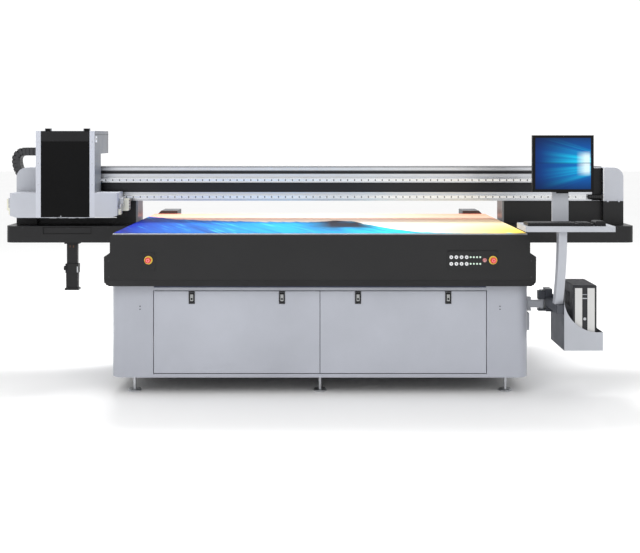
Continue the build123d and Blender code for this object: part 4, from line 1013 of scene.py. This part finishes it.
def stand_details():
    """Bracket bolts, the mouse's wheel and the hub's cap."""
    bolts = [(1.3535, y, z) for y in (-0.685, -0.625) for z in (0.41, 0.45, 0.49)]
    add_studs("bracket_bolts", "base", bolts, 0.006, 0.004, FACE_SIDE, screw_steel, 6)
    mouse_x, mouse_top = 1.7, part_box("keyboard_mouse")[1][2]
    wheel = [((mouse_x - 0.004, -1.083, mouse_top - 0.004),
              (mouse_x + 0.004, -1.06, mouse_top + 0.001))]
    solid("mouse_wheel", "station", wheel, plug_dark, 0.002)
    add_studs("hub_cap", "station", [(1.44, -0.655, 0.6425)], 0.014, 0.004, FACE_UP,
              screw_steel, 24)


for details in (rail_details, screw_threads, cable_chain, keyboard_keys,
                control_panel_details, button_icons, stop_marks, cabinet_details,
                latch_details, fascia_details, table_edge, cap_details, housing_details,
                beam_details, buffer_rings, post_details, cover_details, head_details,
                lamp_details, carriage_details, computer_details, screen_details,
                stand_details):
    details()


# ---------------------------------------------------------------- stage and camera
def studio_floor():
    """A wide matt white floor."""
    s = Surface("studio_floor", srgb(254, 254, 254), 0.95)
    s.set("Specular IOR Level", 0.1)
    s.paint(s.mottle(s.noise(0.6, 3), 0.985, 1.0))
    s.bump(s.noise(60, 3), 0.02, 0.001)
    mesh = bpy.data.meshes.new("floor")
    half = 40
    corners = [(-half, -half, 0), (half, -half, 0), (half, half, 0), (-half, half, 0)]
    mesh.from_pydata(corners, [], [(0, 1, 2, 3)])
    mesh.materials.append(s.mat)
    floor = bpy.data.objects.new("floor", mesh)
    bpy.context.scene.collection.objects.link(floor)


def area_light(name, place, target, size, power):
    data = bpy.data.lights.new(name, "AREA")
    data.shape = "RECTANGLE"
    data.size, data.size_y = size
    data.energy = power
    light = bpy.data.objects.new(name, data)
    light.location = place
    sight = Vector(target) - Vector(place)
    light.rotation_euler = sight.to_track_quat("-Z", "Y").to_euler()
    bpy.context.scene.collection.objects.link(light)


def studio_light():
    """An even white studio, a little darker to the sides so that edges turn."""
    world = bpy.data.worlds.new("studio")
    bpy.context.scene.world = world
    world.use_nodes = True
    nodes, links = world.node_tree.nodes, world.node_tree.links
    sight = nodes.new("ShaderNodeTexCoord").outputs["Generated"]
    split = nodes.new("ShaderNodeSeparateXYZ")
    links.new(sight, split.inputs["Vector"])
    sideways = nodes.new("ShaderNodeMath")
    sideways.operation = "ABSOLUTE"
    links.new(split.outputs["X"], sideways.inputs[0])
    fall = nodes.new("ShaderNodeMapRange")
    for label, value in (("From Min", 0.4), ("From Max", 0.95), ("To Min", 1.1),
                         ("To Max", 0.5)):
        fall.inputs[label].default_value = value
    links.new(sideways.outputs["Value"], fall.inputs["Value"])
    backdrop = nodes["Background"].inputs
    backdrop["Color"].default_value = (1.0, 1.0, 1.0, 1.0)
    links.new(fall.outputs["Result"], backdrop["Strength"])
    bpy.context.scene.view_settings.view_transform = "Standard"
    area_light("key", (-2.6, -5.5, 4.8), (0, -0.4, 0.9), (3.0, 2.0), 55)
    area_light("fill", (3.4, -5.4, 3.0), (0.6, -0.4, 0.8), (3.0, 2.5), 25)
    area_light("top", (-0.8, 1.9, 4.4), (0, 0, 0.2), (3.0, 1.0), 260)


def camera():
    """Level with the operator's eyes, far enough back for gentle perspective."""
    data = bpy.data.cameras.new("view")
    data.lens = 55.8
    data.shift_y = -0.2184375
    cam = bpy.data.objects.new("view", data)
    distance, eye_height = 6.2, 1.637
    cam.location = (0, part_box("fascia")[0][1] - distance, eye_height)
    cam.rotation_euler = (pi / 2, 0, 0)
    bpy.context.scene.collection.objects.link(cam)
    bpy.context.scene.camera = cam


studio_floor()
studio_light()
camera()
